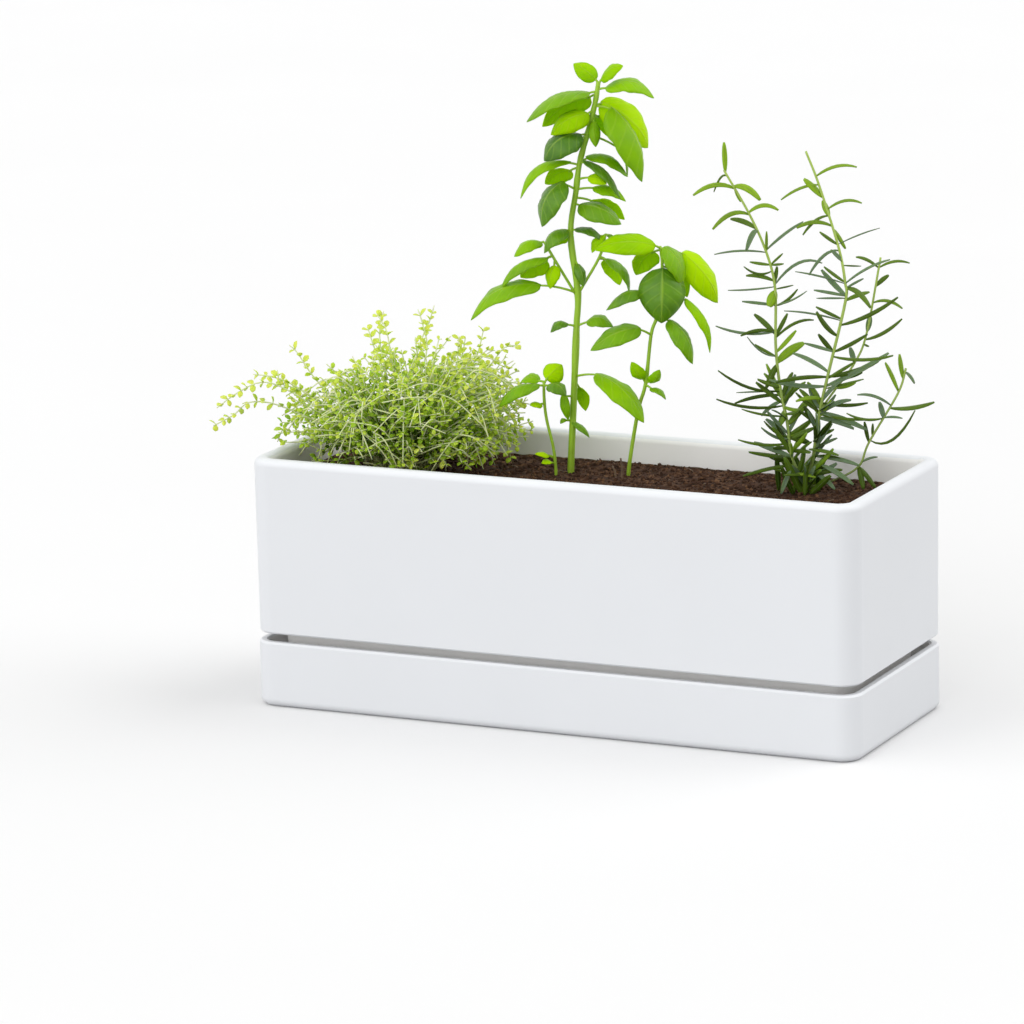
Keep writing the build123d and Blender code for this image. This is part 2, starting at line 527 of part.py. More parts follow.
# Thyme sprigs that reach far out: where each leaves the mound and where it ends
for inner, outer in (
    ((-28, 28, 6), (-90, 30, 18)),
    ((-5, 50, 0), (-8, 79, 2)),
    ((13, 50, 0), (19, 81, 0)),
    ((34, 32, 6), (62, 37, 8)),
):
    start = seen(thyme_foot, inner)
    end = seen(thyme_foot, outer)
    thyme_sprigs += thyme_sprig(start, end, 0, THYME_LONG_PAIRS, THYME_LONG_PAIR_PITCH)

mound_rings = []
for share, spread in THYME_SHAPE:
    ring = []
    for corner in range(THYME_SIDES):
        turn = 2 * pi * corner / THYME_SIDES
        radius = spread * THYME_RADIUS * (1 + THYME_LOBE * (sin(3 * turn + 1) + sin(5 * turn)))
        ring.append(thyme_foot + Vector(radius * cos(turn), radius * sin(turn), share * THYME_HEIGHT))
    mound_rings.append(ring)
thyme_mound = skin(mound_rings)

with BuildPart() as thyme:
    add(thyme_mound)
    with BuildSketch(Plane(origin=thyme_foot, x_dir=sight_right)):
        Rectangle(THYME_CROWN, THYME_CROWN)
    extrude(amount=-PLANTING_DEPTH)
    add(thyme_sprigs)
thyme.part.label = "thyme"

# Soil: fills the basin to below the rim, uneven on top, with a planting hole under each herb
soil_inset = basin_inset(soil_top) + SOIL_CLEARANCE
soil_block = drafted_block(soil_top, basin_floor, soil_inset, BASIN_DRAFT, BASIN_CORNER)
mound_places = [(x * LENGTH, y * WIDTH) for x, y in SOIL_MOUNDS]
mound_lean = (SOIL_MOUND_RADIUS - SOIL_MOUND_TOP_RADIUS) * cos(pi / SOIL_MOUND_SIDES)
with BuildPart() as soil:
    add(soil_block)
    chamfer(soil.faces().sort_by(Axis.Z)[-1].edges(), SOIL_EDGE_CHAMFER)
    with BuildSketch(Plane.XY.offset(soil_top)):
        with Locations(*mound_places):
            RegularPolygon(SOIL_MOUND_RADIUS, SOIL_MOUND_SIDES)
    extrude(amount=SOIL_MOUND_HEIGHT, taper=degrees(atan(mound_lean / SOIL_MOUND_HEIGHT)))
    for foot, side in (
        (thyme_foot, THYME_CROWN),
        (basil_tall_foot, BASIL_TALL_STEM),
        (basil_side_foot, BASIL_SIDE_STEM),
        (basil_young_foot, BASIL_YOUNG_STEM),
        (rosemary_foot, ROSEMARY_STEM),
    ):
        with BuildSketch(Plane(origin=foot, x_dir=sight_right)):
            Rectangle(side + 2 * PLANTING_CLEARANCE, side + 2 * PLANTING_CLEARANCE)
        extrude(amount=-PLANTING_DEPTH - PLANTING_CLEARANCE, mode=Mode.SUBTRACT)
soil.part.label = "soil"

for piece in (saucer, pot, soil, thyme, basil_tall, basil_side, basil_young, rosemary):
    export_step(piece.part, f"parts/{piece.part.label}.step")
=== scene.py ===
"""Looks of the indoor herb planter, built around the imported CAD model."""
import math
import random

import bpy
import numpy as np
from mathutils import Matrix, Vector, noise


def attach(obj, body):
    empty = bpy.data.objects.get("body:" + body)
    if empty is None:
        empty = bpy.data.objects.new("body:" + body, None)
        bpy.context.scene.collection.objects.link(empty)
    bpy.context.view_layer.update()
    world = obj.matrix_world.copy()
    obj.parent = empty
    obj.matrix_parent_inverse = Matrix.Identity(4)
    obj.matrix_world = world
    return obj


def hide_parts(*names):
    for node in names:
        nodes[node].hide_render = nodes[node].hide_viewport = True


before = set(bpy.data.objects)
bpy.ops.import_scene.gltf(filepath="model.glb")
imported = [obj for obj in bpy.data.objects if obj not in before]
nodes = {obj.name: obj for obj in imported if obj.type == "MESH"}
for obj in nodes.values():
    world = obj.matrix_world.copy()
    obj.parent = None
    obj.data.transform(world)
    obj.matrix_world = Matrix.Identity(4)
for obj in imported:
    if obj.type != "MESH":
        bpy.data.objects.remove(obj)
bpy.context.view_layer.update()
MM = 0.001
FULL_TURN = 6.28

# Sizes shared with the CAD, in millimetres
LENGTH = 320.0
WIDTH = 120.0
POT_TOP = 125.0
RIM_WIDTH = 7.6
BASIN_SLOPE = math.tan(math.radians(4.0))
BASIN_FLOOR = 15.4
SOIL_TOP = 112.0
SOIL_CLEARANCE = 0.3
SIGHT_TURN = math.radians(25.0)
sight_right = Vector((math.cos(SIGHT_TURN), math.sin(SIGHT_TURN), 0))
sight_near = Vector((math.sin(SIGHT_TURN), -math.cos(SIGHT_TURN), 0))
UP = Vector((0, 0, 1))

# Where each plant leaves the soil
thyme_foot = Vector((-106.0, -2.0, SOIL_TOP))
basil_tall_foot = Vector((-21.6, 20.0, SOIL_TOP))
basil_young_foot = Vector((-25.7, 11.0, SOIL_TOP))
basil_side_foot = Vector((8.3, 23.0, SOIL_TOP))
rosemary_foot = Vector((104.0, 17.0, SOIL_TOP))


def seen(foot, point):
    """Place, in mm, of a point given as right of, above and nearer than the foot of its plant."""
    right, up, near = point
    return foot + sight_right * right + sight_near * near + UP * up


def new_object(name, data):
    obj = bpy.data.objects.new(name, data)
    bpy.context.scene.collection.objects.link(obj)
    return obj


class Mesh:
    """Collects the faces of one piece, with four numbers per vertex for its material."""

    def __init__(self):
        self.points = []
        self.faces = []
        self.notes = []

    def add(self, points, faces, notes):
        start = len(self.points)
        self.points += [tuple(p) for p in points]
        self.faces += [tuple(start + i for i in face) for face in faces]
        self.notes += notes

    def piece(self, name, material, slot, *replaced):
        """Makes the finished object, which rides on the pot."""
        mesh = bpy.data.meshes.new(name)
        mesh.from_pydata([(x * MM, y * MM, z * MM) for x, y, z in self.points], [], self.faces)
        mesh.validate()
        notes = mesh.color_attributes.new("notes", "FLOAT_COLOR", "POINT")
        notes.data.foreach_set("color", np.array(self.notes, np.float32).ravel())
        mesh.polygons.foreach_set("use_smooth", [True] * len(mesh.polygons))
        mesh.materials.append(material)
        mesh.update()
        obj = new_object(name, mesh)
        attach(obj, "pot")
        if replaced:
            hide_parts(*replaced)


def smooth_path(points, steps):
    """Points along a smooth curve through the given ones."""
    ends = [points[0] * 2 - points[1]] + points + [points[-1] * 2 - points[-2]]
    path = []
    for a, b, c, d in zip(ends, ends[1:], ends[2:], ends[3:]):
        for step in range(steps):
            t = step / steps
            path.append(0.5 * (2 * b + (c - a) * t + (2 * a - 5 * b + 4 * c - d) * t ** 2
                               + (3 * b - a - 3 * c + d) * t ** 3))
    return path + [points[-1]]


def tube(mesh, path, radii, sides, tint, square=0.0, swell=()):
    """Closed tube along a path. Its notes are tint, around, along and height above the soil."""
    points = []
    notes = []
    faces = []
    count = len(path)
    across = None
    for number, place in enumerate(path):
        heading = (path[min(number + 1, count - 1)] - path[max(number - 1, 0)]).normalized()
        if across is None:
            across = heading.cross(sight_near if abs(heading.dot(sight_near)) < 0.9 else UP).normalized()
        across = (across - heading * across.dot(heading)).normalized()
        other = heading.cross(across)
        share = number / (count - 1)
        radius = radii[0] + (radii[1] - radii[0]) * share
        for at, amount, spread in swell:
            radius *= 1 + amount * math.exp(-((share - at) / spread) ** 2)
        for side in range(sides):
            angle = 2 * math.pi * side / sides
            reach = radius * (1 + square * math.cos(4 * angle))
            points.append(place + across * (reach * math.cos(angle)) + other * (reach * math.sin(angle)))
            notes.append((tint, side / sides, share, max(0.0, (place.z - SOIL_TOP) / 200)))
    for number in range(count - 1):
        for side in range(sides):
            after = (side + 1) % sides
            low = number * sides
            faces.append((low + side, low + after, low + sides + after, low + sides + side))
    faces.append(tuple(reversed(range(sides))))
    faces.append(tuple(range((count - 1) * sides, count * sides)))
    mesh.add(points, faces, notes)


def grid_edge(rows, columns):
    """Indices of the outer points of a grid, in order round it."""
    edge = list(range(columns))
    edge += [row * columns + columns - 1 for row in range(1, rows)]
    edge += [(rows - 1) * columns + column for column in range(columns - 2, -1, -1)]
    edge += [row * columns for row in range(rows - 2, 0, -1)]
    return edge


def grid_quads(rows, columns):
    """Faces of a grid of points."""
    starts = [row * columns + column for row in range(rows - 1) for column in range(columns - 1)]
    return [(a, a + 1, a + columns + 1, a + columns) for a in starts]


def grid_normals(points, rows, columns):
    """Normals of a grid of points."""
    normals = []
    for row in range(rows):
        for column in range(columns):
            before = points[max(row - 1, 0) * columns + column]
            after = points[min(row + 1, rows - 1) * columns + column]
            left = points[row * columns + max(column - 1, 0)]
            right = points[row * columns + min(column + 1, columns - 1)]
            normals.append((after - before).cross(right - left).normalized())
    return normals


def sheet(mesh, upper, upward, thickness, tint, rows, columns):
    """Closed thin leaf from a grid of upper points. Its notes are tint, across, along and side."""
    normals = grid_normals(upper, rows, columns)
    sign = 1 if sum(n.dot(upward) for n in normals) > 0 else -1
    lower = [p - n * (sign * thickness) for p, n in zip(upper, normals)]
    size = rows * columns
    notes = []
    for side in (1.0, 0.0):
        for row in range(rows):
            for column in range(columns):
                notes.append((tint, column / (columns - 1), row / (rows - 1), side))
    faces = []
    for quad in grid_quads(rows, columns):
        faces.append(quad)
        faces.append(tuple(size + i for i in reversed(quad)))
    edge = grid_edge(rows, columns)
    for a, b in zip(edge, edge[1:] + edge[:1]):
        faces.append((b, a, size + a, size + b))
    mesh.add(upper + lower, faces, notes)


# Materials
OUTER_WHITE = (0.87, 0.888, 0.918)
# Painted light: a whiter colour for the inner faces, brightening the shade inside the basin and the saucer
INNER_PAINTED_LIGHT_WHITE = (0.975, 0.968, 0.955)
# Taken off half length plus half width of the plan by its rounded corners, and by each mm of inset
CORNER_CUT = 6.2
CORNER_INSET = 1.42
# Side veins along a basil leaf, for its material and for its shape
LEAF_VEINS = 5


def new_material(name):
    material = bpy.data.materials.new(name)
    material.use_nodes = True
    tree = material.node_tree
    return material, tree, tree.nodes["Principled BSDF"]


def noise_node(tree, scale, detail, source):
    node = tree.nodes.new("ShaderNodeTexNoise")
    node.inputs["Scale"].default_value = scale
    node.inputs["Detail"].default_value = detail
    tree.links.new(source, node.inputs["Vector"])
    return node.outputs["Fac"]


def ramp_node(tree, source, *stops):
    node = tree.nodes.new("ShaderNodeValToRGB")
    ramp = node.color_ramp
    while len(ramp.elements) < len(stops):
        ramp.elements.new(0.5)
    for element, (place, colour) in zip(ramp.elements, stops):
        element.position = place
        element.color = (*colour, 1)
    tree.links.new(source, node.inputs["Fac"])
    return node.outputs["Color"]


def math_node(tree, operation, *values):
    node = tree.nodes.new("ShaderNodeMath")
    node.operation = operation
    for socket, value in zip(node.inputs, values):
        if isinstance(value, (int, float)):
            socket.default_value = value
        else:
            tree.links.new(value, socket)
    return node.outputs[0]


def mix_node(tree, factor, first, second):
    node = tree.nodes.new("ShaderNodeMix")
    node.data_type = "RGBA"
    for socket, value in ((node.inputs[0], factor), (node.inputs[6], first), (node.inputs[7], second)):
        if isinstance(value, tuple):
            socket.default_value = (*value, 1)
        elif isinstance(value, (int, float)):
            socket.default_value = value
        else:
            tree.links.new(value, socket)
    return node.outputs[2]


def bump_node(tree, principled, height, strength, distance):
    node = tree.nodes.new("ShaderNodeBump")
    node.inputs["Strength"].default_value = strength
    node.inputs["Distance"].default_value = distance
    tree.links.new(height, node.inputs["Height"])
    tree.links.new(node.outputs["Normal"], principled.inputs["Normal"])


def roughness(tree, principled, source, least, most):
    """Roughness that wanders between two values."""
    ramp = ramp_node(tree, source, (0.3, (least,) * 3), (0.7, (most,) * 3))
    tree.links.new(ramp, principled.inputs["Roughness"])


def places_of(tree):
    return tree.nodes.new("ShaderNodeTexCoord").outputs["Object"]


def notes_of(tree):
    """The four numbers that a piece keeps for each vertex."""
    attribute = tree.nodes.new("ShaderNodeAttribute")
    attribute.attribute_name = "notes"
    split = tree.nodes.new("ShaderNodeSeparateColor")
    tree.links.new(attribute.outputs["Color"], split.inputs[0])
    return split.outputs[0], split.outputs[1], split.outputs[2], attribute.outputs["Alpha"]


def seen_directly(tree):
    """1 for rays from the camera and for mirrored and refracted ones, which show the white background."""
    rays = tree.nodes.new("ShaderNodeLightPath").outputs
    direct = math_node(tree, "MAXIMUM", rays["Is Camera Ray"], rays["Is Glossy Ray"])
    return math_node(tree, "MAXIMUM", direct, rays["Is Transmission Ray"])


def plastic(name, painted_light_insides):
    """Satin white moulding with a very fine grain. Its inner faces get a whiter colour, painted light that
    brightens the shade inside the basin and the saucer.

    Each inner region with painted light is given by its distance from the edge of the plan and by its top,
    in mm.
    """
    material, tree, principled = new_material(name)
    place = places_of(tree)
    cloud = noise_node(tree, 14, 3, place)
    colour = ramp_node(tree, cloud, (0.3, tuple(0.985 * c for c in OUTER_WHITE)), (0.7, OUTER_WHITE))
    split = tree.nodes.new("ShaderNodeSeparateXYZ")
    tree.links.new(place, split.inputs[0])
    off_x = math_node(tree, "ABSOLUTE", split.outputs[0])
    off_y = math_node(tree, "ABSOLUTE", split.outputs[1])
    diagonal = math_node(tree, "ADD", off_x, off_y)
    # Painted light: faces this far in from the plan's edge and below this top take the whiter colour
    for inset, top in painted_light_insides:
        corner = LENGTH / 2 + WIDTH / 2 - CORNER_CUT - CORNER_INSET * inset
        painted_light_mask = math_node(tree, "LESS_THAN", off_x, (LENGTH / 2 - inset) * MM)
        for value, limit in ((off_y, WIDTH / 2 - inset), (diagonal, corner), (split.outputs[2], top)):
            painted_light_mask = math_node(tree, "MULTIPLY", painted_light_mask, math_node(tree, "LESS_THAN", value, limit * MM))
        colour = mix_node(tree, painted_light_mask, colour, INNER_PAINTED_LIGHT_WHITE)
    tree.links.new(colour, principled.inputs["Base Color"])
    roughness(tree, principled, noise_node(tree, 60, 2, place), 0.36, 0.44)
    principled.inputs["Specular IOR Level"].default_value = 0.4
    bump_node(tree, principled, noise_node(tree, 1800, 2, place), 0.06, 0.0002)
    return material


def soil_material():
    """Dark crumbs of several browns."""
    material, tree, principled = new_material("potting_soil")
    place = places_of(tree)
    grain = tree.nodes.new("ShaderNodeTexVoronoi")
    grain.inputs["Scale"].default_value = 520
    tree.links.new(place, grain.inputs["Vector"])
    split = tree.nodes.new("ShaderNodeSeparateColor")
    tree.links.new(grain.outputs["Color"], split.inputs[0])
    shade = ramp_node(tree, split.outputs[0], (0.0, (0.027, 0.0125, 0.0066)), (0.55, (0.064, 0.029, 0.0155)),
                      (0.85, (0.112, 0.055, 0.0275)), (1.0, (0.22, 0.115, 0.055)))
    cloud = noise_node(tree, 45, 4, place)
    colour = mix_node(tree, math_node(tree, "MULTIPLY", cloud, 0.55), shade, (0.06, 0.028, 0.0145))
    tree.links.new(colour, principled.inputs["Base Color"])
    principled.inputs["Roughness"].default_value = 0.9
    principled.inputs["Specular IOR Level"].default_value = 0.2
    bump_node(tree, principled, noise_node(tree, 700, 4, place), 0.7, 0.0008)
    return material


def leaf_material(name, dark, mid, bright, under, vein, veins, gloss, sheen, scatter):
    """Leaf with sunken midrib and side veins, a paler underside and a shade for each leaf, which is partly
    its own tone and partly painted light: dark for leaves in shade, bright yellow-green for leaves lit from
    behind.

    The sheen is given for dark leaves and for bright ones.
    """
    material, tree, principled = new_material(name)
    tint, across, along, side = notes_of(tree)
    place = places_of(tree)
    cloud = noise_node(tree, 90, 3, place)
    # The tint carries each leaf's own tone together with painted light and shade
    level = math_node(tree, "MULTIPLY", tint, 1.02)
    level = math_node(tree, "ADD", level, math_node(tree, "MULTIPLY", cloud, 0.24))
    level = math_node(tree, "SUBTRACT", level, 0.13)
    upper = ramp_node(tree, level, (0.12, dark), (0.5, mid), (0.92, bright))
    below = math_node(tree, "SUBTRACT", 1.0, side)
    colour = mix_node(tree, math_node(tree, "MULTIPLY", below, 0.5), upper, under)
    off_rib = math_node(tree, "ABSOLUTE", math_node(tree, "SUBTRACT", across, 0.5))
    line = ramp_node(tree, off_rib, (0.0, (1, 1, 1)), (0.05, (0, 0, 0)))
    if veins:
        run = math_node(tree, "SUBTRACT", along, math_node(tree, "MULTIPLY", off_rib, 0.55))
        wave = math_node(tree, "SINE", math_node(tree, "MULTIPLY", run, veins * 2 * math.pi))
        side_veins = ramp_node(tree, wave, (0.75, (0, 0, 0)), (1.0, (0.35,) * 3))
        line = math_node(tree, "MAXIMUM", line, side_veins)
    colour = mix_node(tree, math_node(tree, "MULTIPLY", line, 0.4), colour, vein)
    tree.links.new(colour, principled.inputs["Base Color"])
    roughness(tree, principled, cloud, gloss, gloss + 0.12)
    on_dark, on_bright = sheen
    shine = ramp_node(tree, level, (0.2, (on_dark,) * 3), (0.6, (on_bright,) * 3))
    tree.links.new(shine, principled.inputs["Specular IOR Level"])
    principled.inputs["Subsurface Weight"].default_value = scatter
    principled.inputs["Subsurface Radius"].default_value = (0.7, 1.0, 0.12)
    principled.inputs["Subsurface Scale"].default_value = 0.0016
    grain = math_node(tree, "MULTIPLY", noise_node(tree, 900, 3, place), 0.4)
    bump_node(tree, principled, math_node(tree, "SUBTRACT", grain, line), 0.6, 0.0005)
    return material


def stem_material(name, foot, low, high):
    """Stem that is darker at its foot, with faint streaks."""
    material, tree, principled = new_material(name)
    *_, height = notes_of(tree)
    place = places_of(tree)
    streak = noise_node(tree, 240, 3, place)
    level = math_node(tree, "MULTIPLY", height, 1.4)
    level = math_node(tree, "ADD", level, math_node(tree, "MULTIPLY", streak, 0.3))
    colour = ramp_node(tree, level, (0.1, foot), (0.28, low), (0.95, high))
    tree.links.new(colour, principled.inputs["Base Color"])
    roughness(tree, principled, streak, 0.42, 0.58)
    principled.inputs["Subsurface Weight"].default_value = 0.25
    principled.inputs["Subsurface Radius"].default_value = (0.7, 1.0, 0.15)
    principled.inputs["Subsurface Scale"].default_value = 0.001
    bump_node(tree, principled, noise_node(tree, 1300, 2, place), 0.15, 0.0003)
    return material


pot_white = plastic("pot_white", ((2.0, 118), (7.0, 130)))
saucer_white = plastic("saucer_white", ((4.3, 40),))
soil_brown = soil_material()
litter_brown = stem_material("soil_litter", (0.2, 0.13, 0.08), (0.07, 0.04, 0.025), (0.07, 0.04, 0.025))
basil_stem_green = stem_material("basil_stem", (0.26, 0.4, 0.02), (0.32, 0.55, 0.02), (0.36, 0.6, 0.03))
basil_leaf_green = leaf_material(
    "basil_leaf", dark=(0.026, 0.115, 0.006), mid=(0.26, 0.52, 0.001), bright=(0.48, 0.83, 0.001),
    under=(0.34, 0.58, 0.006), vein=(0.46, 0.66, 0.06), veins=LEAF_VEINS, gloss=0.32, sheen=(0.35, 0.03),
    scatter=0.45)
rosemary_stem_green = stem_material("rosemary_stem", (0.1, 0.11, 0.05), (0.26, 0.36, 0.07), (0.4, 0.55, 0.1))
rosemary_leaf_green = leaf_material(
    "rosemary_leaf", dark=(0.03, 0.056, 0.003), mid=(0.105, 0.185, 0.012), bright=(0.28, 0.46, 0.01),
    under=(0.26, 0.36, 0.24), vein=(0.26, 0.35, 0.16), veins=0, gloss=0.42, sheen=(0.08, 0.24), scatter=0.3)
thyme_stem_pale = stem_material("thyme_stem", (0.3, 0.3, 0.1), (0.74, 0.82, 0.42), (0.9, 0.95, 0.62))
thyme_leaf_green = leaf_material(
    "thyme_leaf", dark=(0.045, 0.095, 0.003), mid=(0.41, 0.67, 0.035), bright=(0.74, 0.97, 0.12),
    under=(0.5, 0.66, 0.14), vein=(0.62, 0.76, 0.16), veins=0, gloss=0.45, sheen=(0.08, 0.24), scatter=0.6)

# Pot and saucer keep their CAD shape and get the plastic
for name, material in (("pot", pot_white), ("saucer", saucer_white)):
    node = nodes[name]
    node.data.materials.clear()
    node.data.materials.append(material)

# Soil: an uneven, crumbly bed that fills the basin, with the low mounds of the CAD
SOIL_COLUMNS = 210
SOIL_ROWS = 72
SOIL_CORNER = 4.0
CRUMBS = 6200
CRUMB_SIZES = (0.8, 1.0, 1.2, 1.5, 1.9, 2.6)
FIBRES = 26
SOIL_MOUND_HEIGHT = 1.2
SOIL_MOUND_RADIUS = 11.0
SOIL_MOUND_TOP_RADIUS = 5.5
# Middle of each mound, as shares of the length and width
SOIL_MOUNDS = (
    (-0.12, -0.3), (-0.05, -0.17), (0.02, -0.31), (0.09, -0.16), (0.16, -0.31), (0.23, -0.17), (0.3, -0.31),
    (0.38, -0.25), (0.415, -0.04), (0.1, 0.05), (0.17, 0.03), (0.14, 0.24), (0.215, 0.2), (0.075, 0.32),
    (-0.03, 0.31), (-0.16, 0.27),
)


def basin_half(height):
    """Half length and half width of the basin's inside at this height, less a small clearance."""
    inset = RIM_WIDTH + (POT_TOP - height) * BASIN_SLOPE + SOIL_CLEARANCE
    return LENGTH / 2 - inset, WIDTH / 2 - inset


def soil_height(x, y):
    """Level of the soil: low mounds under small lumps."""
    rise = 0.0
    for share_x, share_y in SOIL_MOUNDS:
        off = math.hypot(x - share_x * LENGTH, y - share_y * WIDTH)
        climb = (SOIL_MOUND_RADIUS - off) / (SOIL_MOUND_RADIUS - SOIL_MOUND_TOP_RADIUS)
        climb = min(1.0, max(0.0, climb))
        rise += SOIL_MOUND_HEIGHT * climb * climb * (3 - 2 * climb)
    lumps = noise.fractal(Vector((x / 5, y / 5, 8.7)), 1.0, 2.0, 4) * 0.55
    return SOIL_TOP + rise + lumps - 0.3


def soil_bed():
    """Grid of points for the top, with rounded corners, closed by the walls and floor of the basin."""
    mesh = Mesh()
    half_x, half_y = basin_half(SOIL_TOP)
    top = []
    for row in range(SOIL_ROWS):
        for column in range(SOIL_COLUMNS):
            x = half_x * (2 * column / (SOIL_COLUMNS - 1) - 1)
            y = half_y * (2 * row / (SOIL_ROWS - 1) - 1)
            over_x = abs(x) - (half_x - SOIL_CORNER)
            over_y = abs(y) - (half_y - SOIL_CORNER)
            over = math.hypot(over_x, over_y)
            if over_x > 0 and over_y > 0 and over > SOIL_CORNER:
                pull = SOIL_CORNER / over
                x = math.copysign(half_x - SOIL_CORNER + over_x * pull, x)
                y = math.copysign(half_y - SOIL_CORNER + over_y * pull, y)
            top.append(Vector((x, y, soil_height(x, y))))
    faces = grid_quads(SOIL_ROWS, SOIL_COLUMNS)
    edge = grid_edge(SOIL_ROWS, SOIL_COLUMNS)
    foot_x, foot_y = basin_half(BASIN_FLOOR)
    foot = []
    for index in edge:
        x, y, _ = top[index]
        foot.append(Vector((x * foot_x / half_x, y * foot_y / half_y, BASIN_FLOOR + 0.05)))
    size = len(top)
    for number, index in enumerate(edge):
        after = (number + 1) % len(edge)
        faces.append((edge[after], index, size + number, size + after))
    faces.append(tuple(size + number for number in reversed(range(len(edge)))))
    points = top + foot
    mesh.add(points, faces, [(0.5, 0.5, 0.5, 1.0)] * len(points))
    return mesh


# Corners and faces of an icosahedron
GOLDEN = 1.618
ICO_WIDTH = 3.8
ICO = [(0, 1, GOLDEN), (0, -1, GOLDEN), (0, 1, -GOLDEN), (0, -1, -GOLDEN), (1, GOLDEN, 0), (-1, GOLDEN, 0),
       (1, -GOLDEN, 0), (-1, -GOLDEN, 0), (GOLDEN, 0, 1), (GOLDEN, 0, -1), (-GOLDEN, 0, 1), (-GOLDEN, 0, -1)]
ICO_FACES = [(0, 1, 8), (0, 8, 4), (0, 4, 5), (0, 5, 10), (0, 10, 1), (1, 6, 8), (8, 6, 9), (8, 9, 4),
             (4, 9, 2), (4, 2, 5), (5, 2, 11), (5, 11, 10), (10, 11, 7), (10, 7, 1), (1, 7, 6), (3, 9, 6),
             (3, 2, 9), (3, 11, 2), (3, 7, 11), (3, 6, 7)]


def add_crumb(mesh, place, size, rng):
    """One irregular lump."""
    angle = rng.uniform(0, FULL_TURN)
    turn = Matrix.Rotation(angle, 3, Vector((rng.gauss(0, 1), rng.gauss(0, 1), rng.gauss(0, 1))))
    stretch = (rng.uniform(0.7, 1.5), rng.uniform(0.6, 1.1), rng.uniform(0.5, 0.9))
    points = []
    for corner in ICO:
        scale = size * rng.uniform(0.75, 1.2) / ICO_WIDTH
        points.append(place + turn @ Vector([c * s * scale for c, s in zip(corner, stretch)]))
    mesh.add(points, ICO_FACES, [(rng.random(), 0.5, 0.5, 1.0)] * len(points))


def add_crumbs(mesh, count, rng):
    half_x, half_y = basin_half(SOIL_TOP)
    for _ in range(count):
        x = rng.uniform(-half_x + 2.5, half_x - 2.5)
        y = rng.uniform(-half_y + 2.5, half_y - 2.5)
        size = rng.choice(CRUMB_SIZES)
        add_crumb(mesh, Vector((x, y, soil_height(x, y) + 0.1 * size)), size, rng)


soil_mesh = soil_bed()
add_crumbs(soil_mesh, CRUMBS, random.Random(11))
soil_mesh.piece("soil_bed", soil_brown, "soil", "soil")

# Litter: pale fibres on the soil and two dead twigs beside the side basil
litter = Mesh()
rng = random.Random(12)
for _ in range(FIBRES):
    x = rng.uniform(-60, 140)
    y = rng.uniform(-44, 44)
    turn = rng.uniform(0, FULL_TURN)
    run = Vector((math.cos(turn), math.sin(turn), 0)) * rng.uniform(1.5, 4.0)
    start = Vector((x, y, soil_height(x, y) + 0.5))
    end = start + run
    end.z = soil_height(end.x, end.y) + 0.6
    tube(litter, [start, (start + end) / 2 + UP * 0.5, end], (0.3, 0.22), 5, rng.random())
for points in ([(-4, -3, 4), (-3.4, 3, 4), (-4, 9.5, 4)], [(-6.5, -3, 4), (-6.8, 2, 4), (-8, 5.5, 4)]):
    tube(litter, smooth_path([seen(basil_side_foot, p) for p in points], 4), (0.6, 0.45), 6, rng.random())
litter.piece("soil_litter", litter_brown, "soil")

# Basil: stems and leaves placed as in the CAD, with small shoots added. Each leaf is cupped and puckered
LEAF_ROWS = 27
LEAF_COLUMNS = 9
LEAF_FULLNESS = 1.25
LEAF_THICKNESS = 0.4
NODE_SWELL = 0.22
NODE_SPREAD = 0.018


def planted(points):
    """Points of a stem, with its start below the soil."""
    return [(0, -8, 0), (0, 3, 0)] + points


def leaf_spread(share):
    """Half width of a basil leaf along its length, as a share of the widest."""
    rise = math.sin(math.pi * min(1.0, share) ** 0.8)
    return max(0.0, rise) ** (0.6 + 0.15 * share)


def frame_of(start, end, face):
    """Directions along a leaf, out of its upper face and across it."""
    along = (end - start).normalized()
    upward = (face - along * face.dot(along)).normalized()
    return along, upward, upward.cross(along)


def add_basil_leaf(mesh, foot, base, tip, width, arch, face, tint, rng):
    """One arched leaf, cupped and folded along its midrib, with a hooked tip and a rippled edge."""
    start = seen(foot, base)
    end = seen(foot, tip)
    upper = sight_right * face[0] + UP * face[1] + sight_near * face[2]
    along, upward, aside = frame_of(start, end, upper)
    length = (end - start).length
    half = width * 0.5 * (LEAF_FULLNESS - (LEAF_FULLNESS - 1) * abs(upward.dot(sight_near)))
    cup = rng.uniform(0.06, 0.2) * width
    twist = rng.uniform(-0.25, 0.25)
    wave = rng.uniform(0, FULL_TURN)
    hook = rng.uniform(0.02, 0.14) * length
    fold = rng.uniform(0.04, 0.2) * width
    points = []
    for row in range(LEAF_ROWS):
        share = row / (LEAF_ROWS - 1)
        spread = max(leaf_spread(share), 0.02)
        crest = arch * math.sin(math.pi * share ** 0.9)
        for column in range(LEAF_COLUMNS):
            side = 2 * column / (LEAF_COLUMNS - 1) - 1
            off = abs(side)
            groove = -0.03 * width * math.exp(-(off / 0.14) ** 2) * spread
            droop = -(cup * off ** 2 + fold * off) * spread
            ripple = 0.03 * width * math.sin(share * 15 + wave + 2 * side) * off ** 3 * spread
            swell = math.sin(2 * math.pi * LEAF_VEINS * (share - 0.275 * off))
            pucker = -0.034 * width * swell * off * (1.4 - off) * spread
            curl = -hook * max(0.0, (share - 0.6) / 0.4) ** 2
            turned = twist * side * half * spread * (share - 0.4)
            lift = crest + groove + droop + ripple + pucker + curl + turned
            points.append(start + along * (share * length) + aside * (side * half * spread) + upward * lift)
    sheet(mesh, points, upward, LEAF_THICKNESS, tint, LEAF_ROWS, LEAF_COLUMNS)


def bent(start, end, sag, steps):
    """Points of a shallow arc between two places."""
    middle = (start + end) / 2 + UP * sag
    return [(start * (1 - t) ** 2 + middle * (2 * t * (1 - t)) + end * t ** 2)
            for t in (step / steps for step in range(steps + 1))]


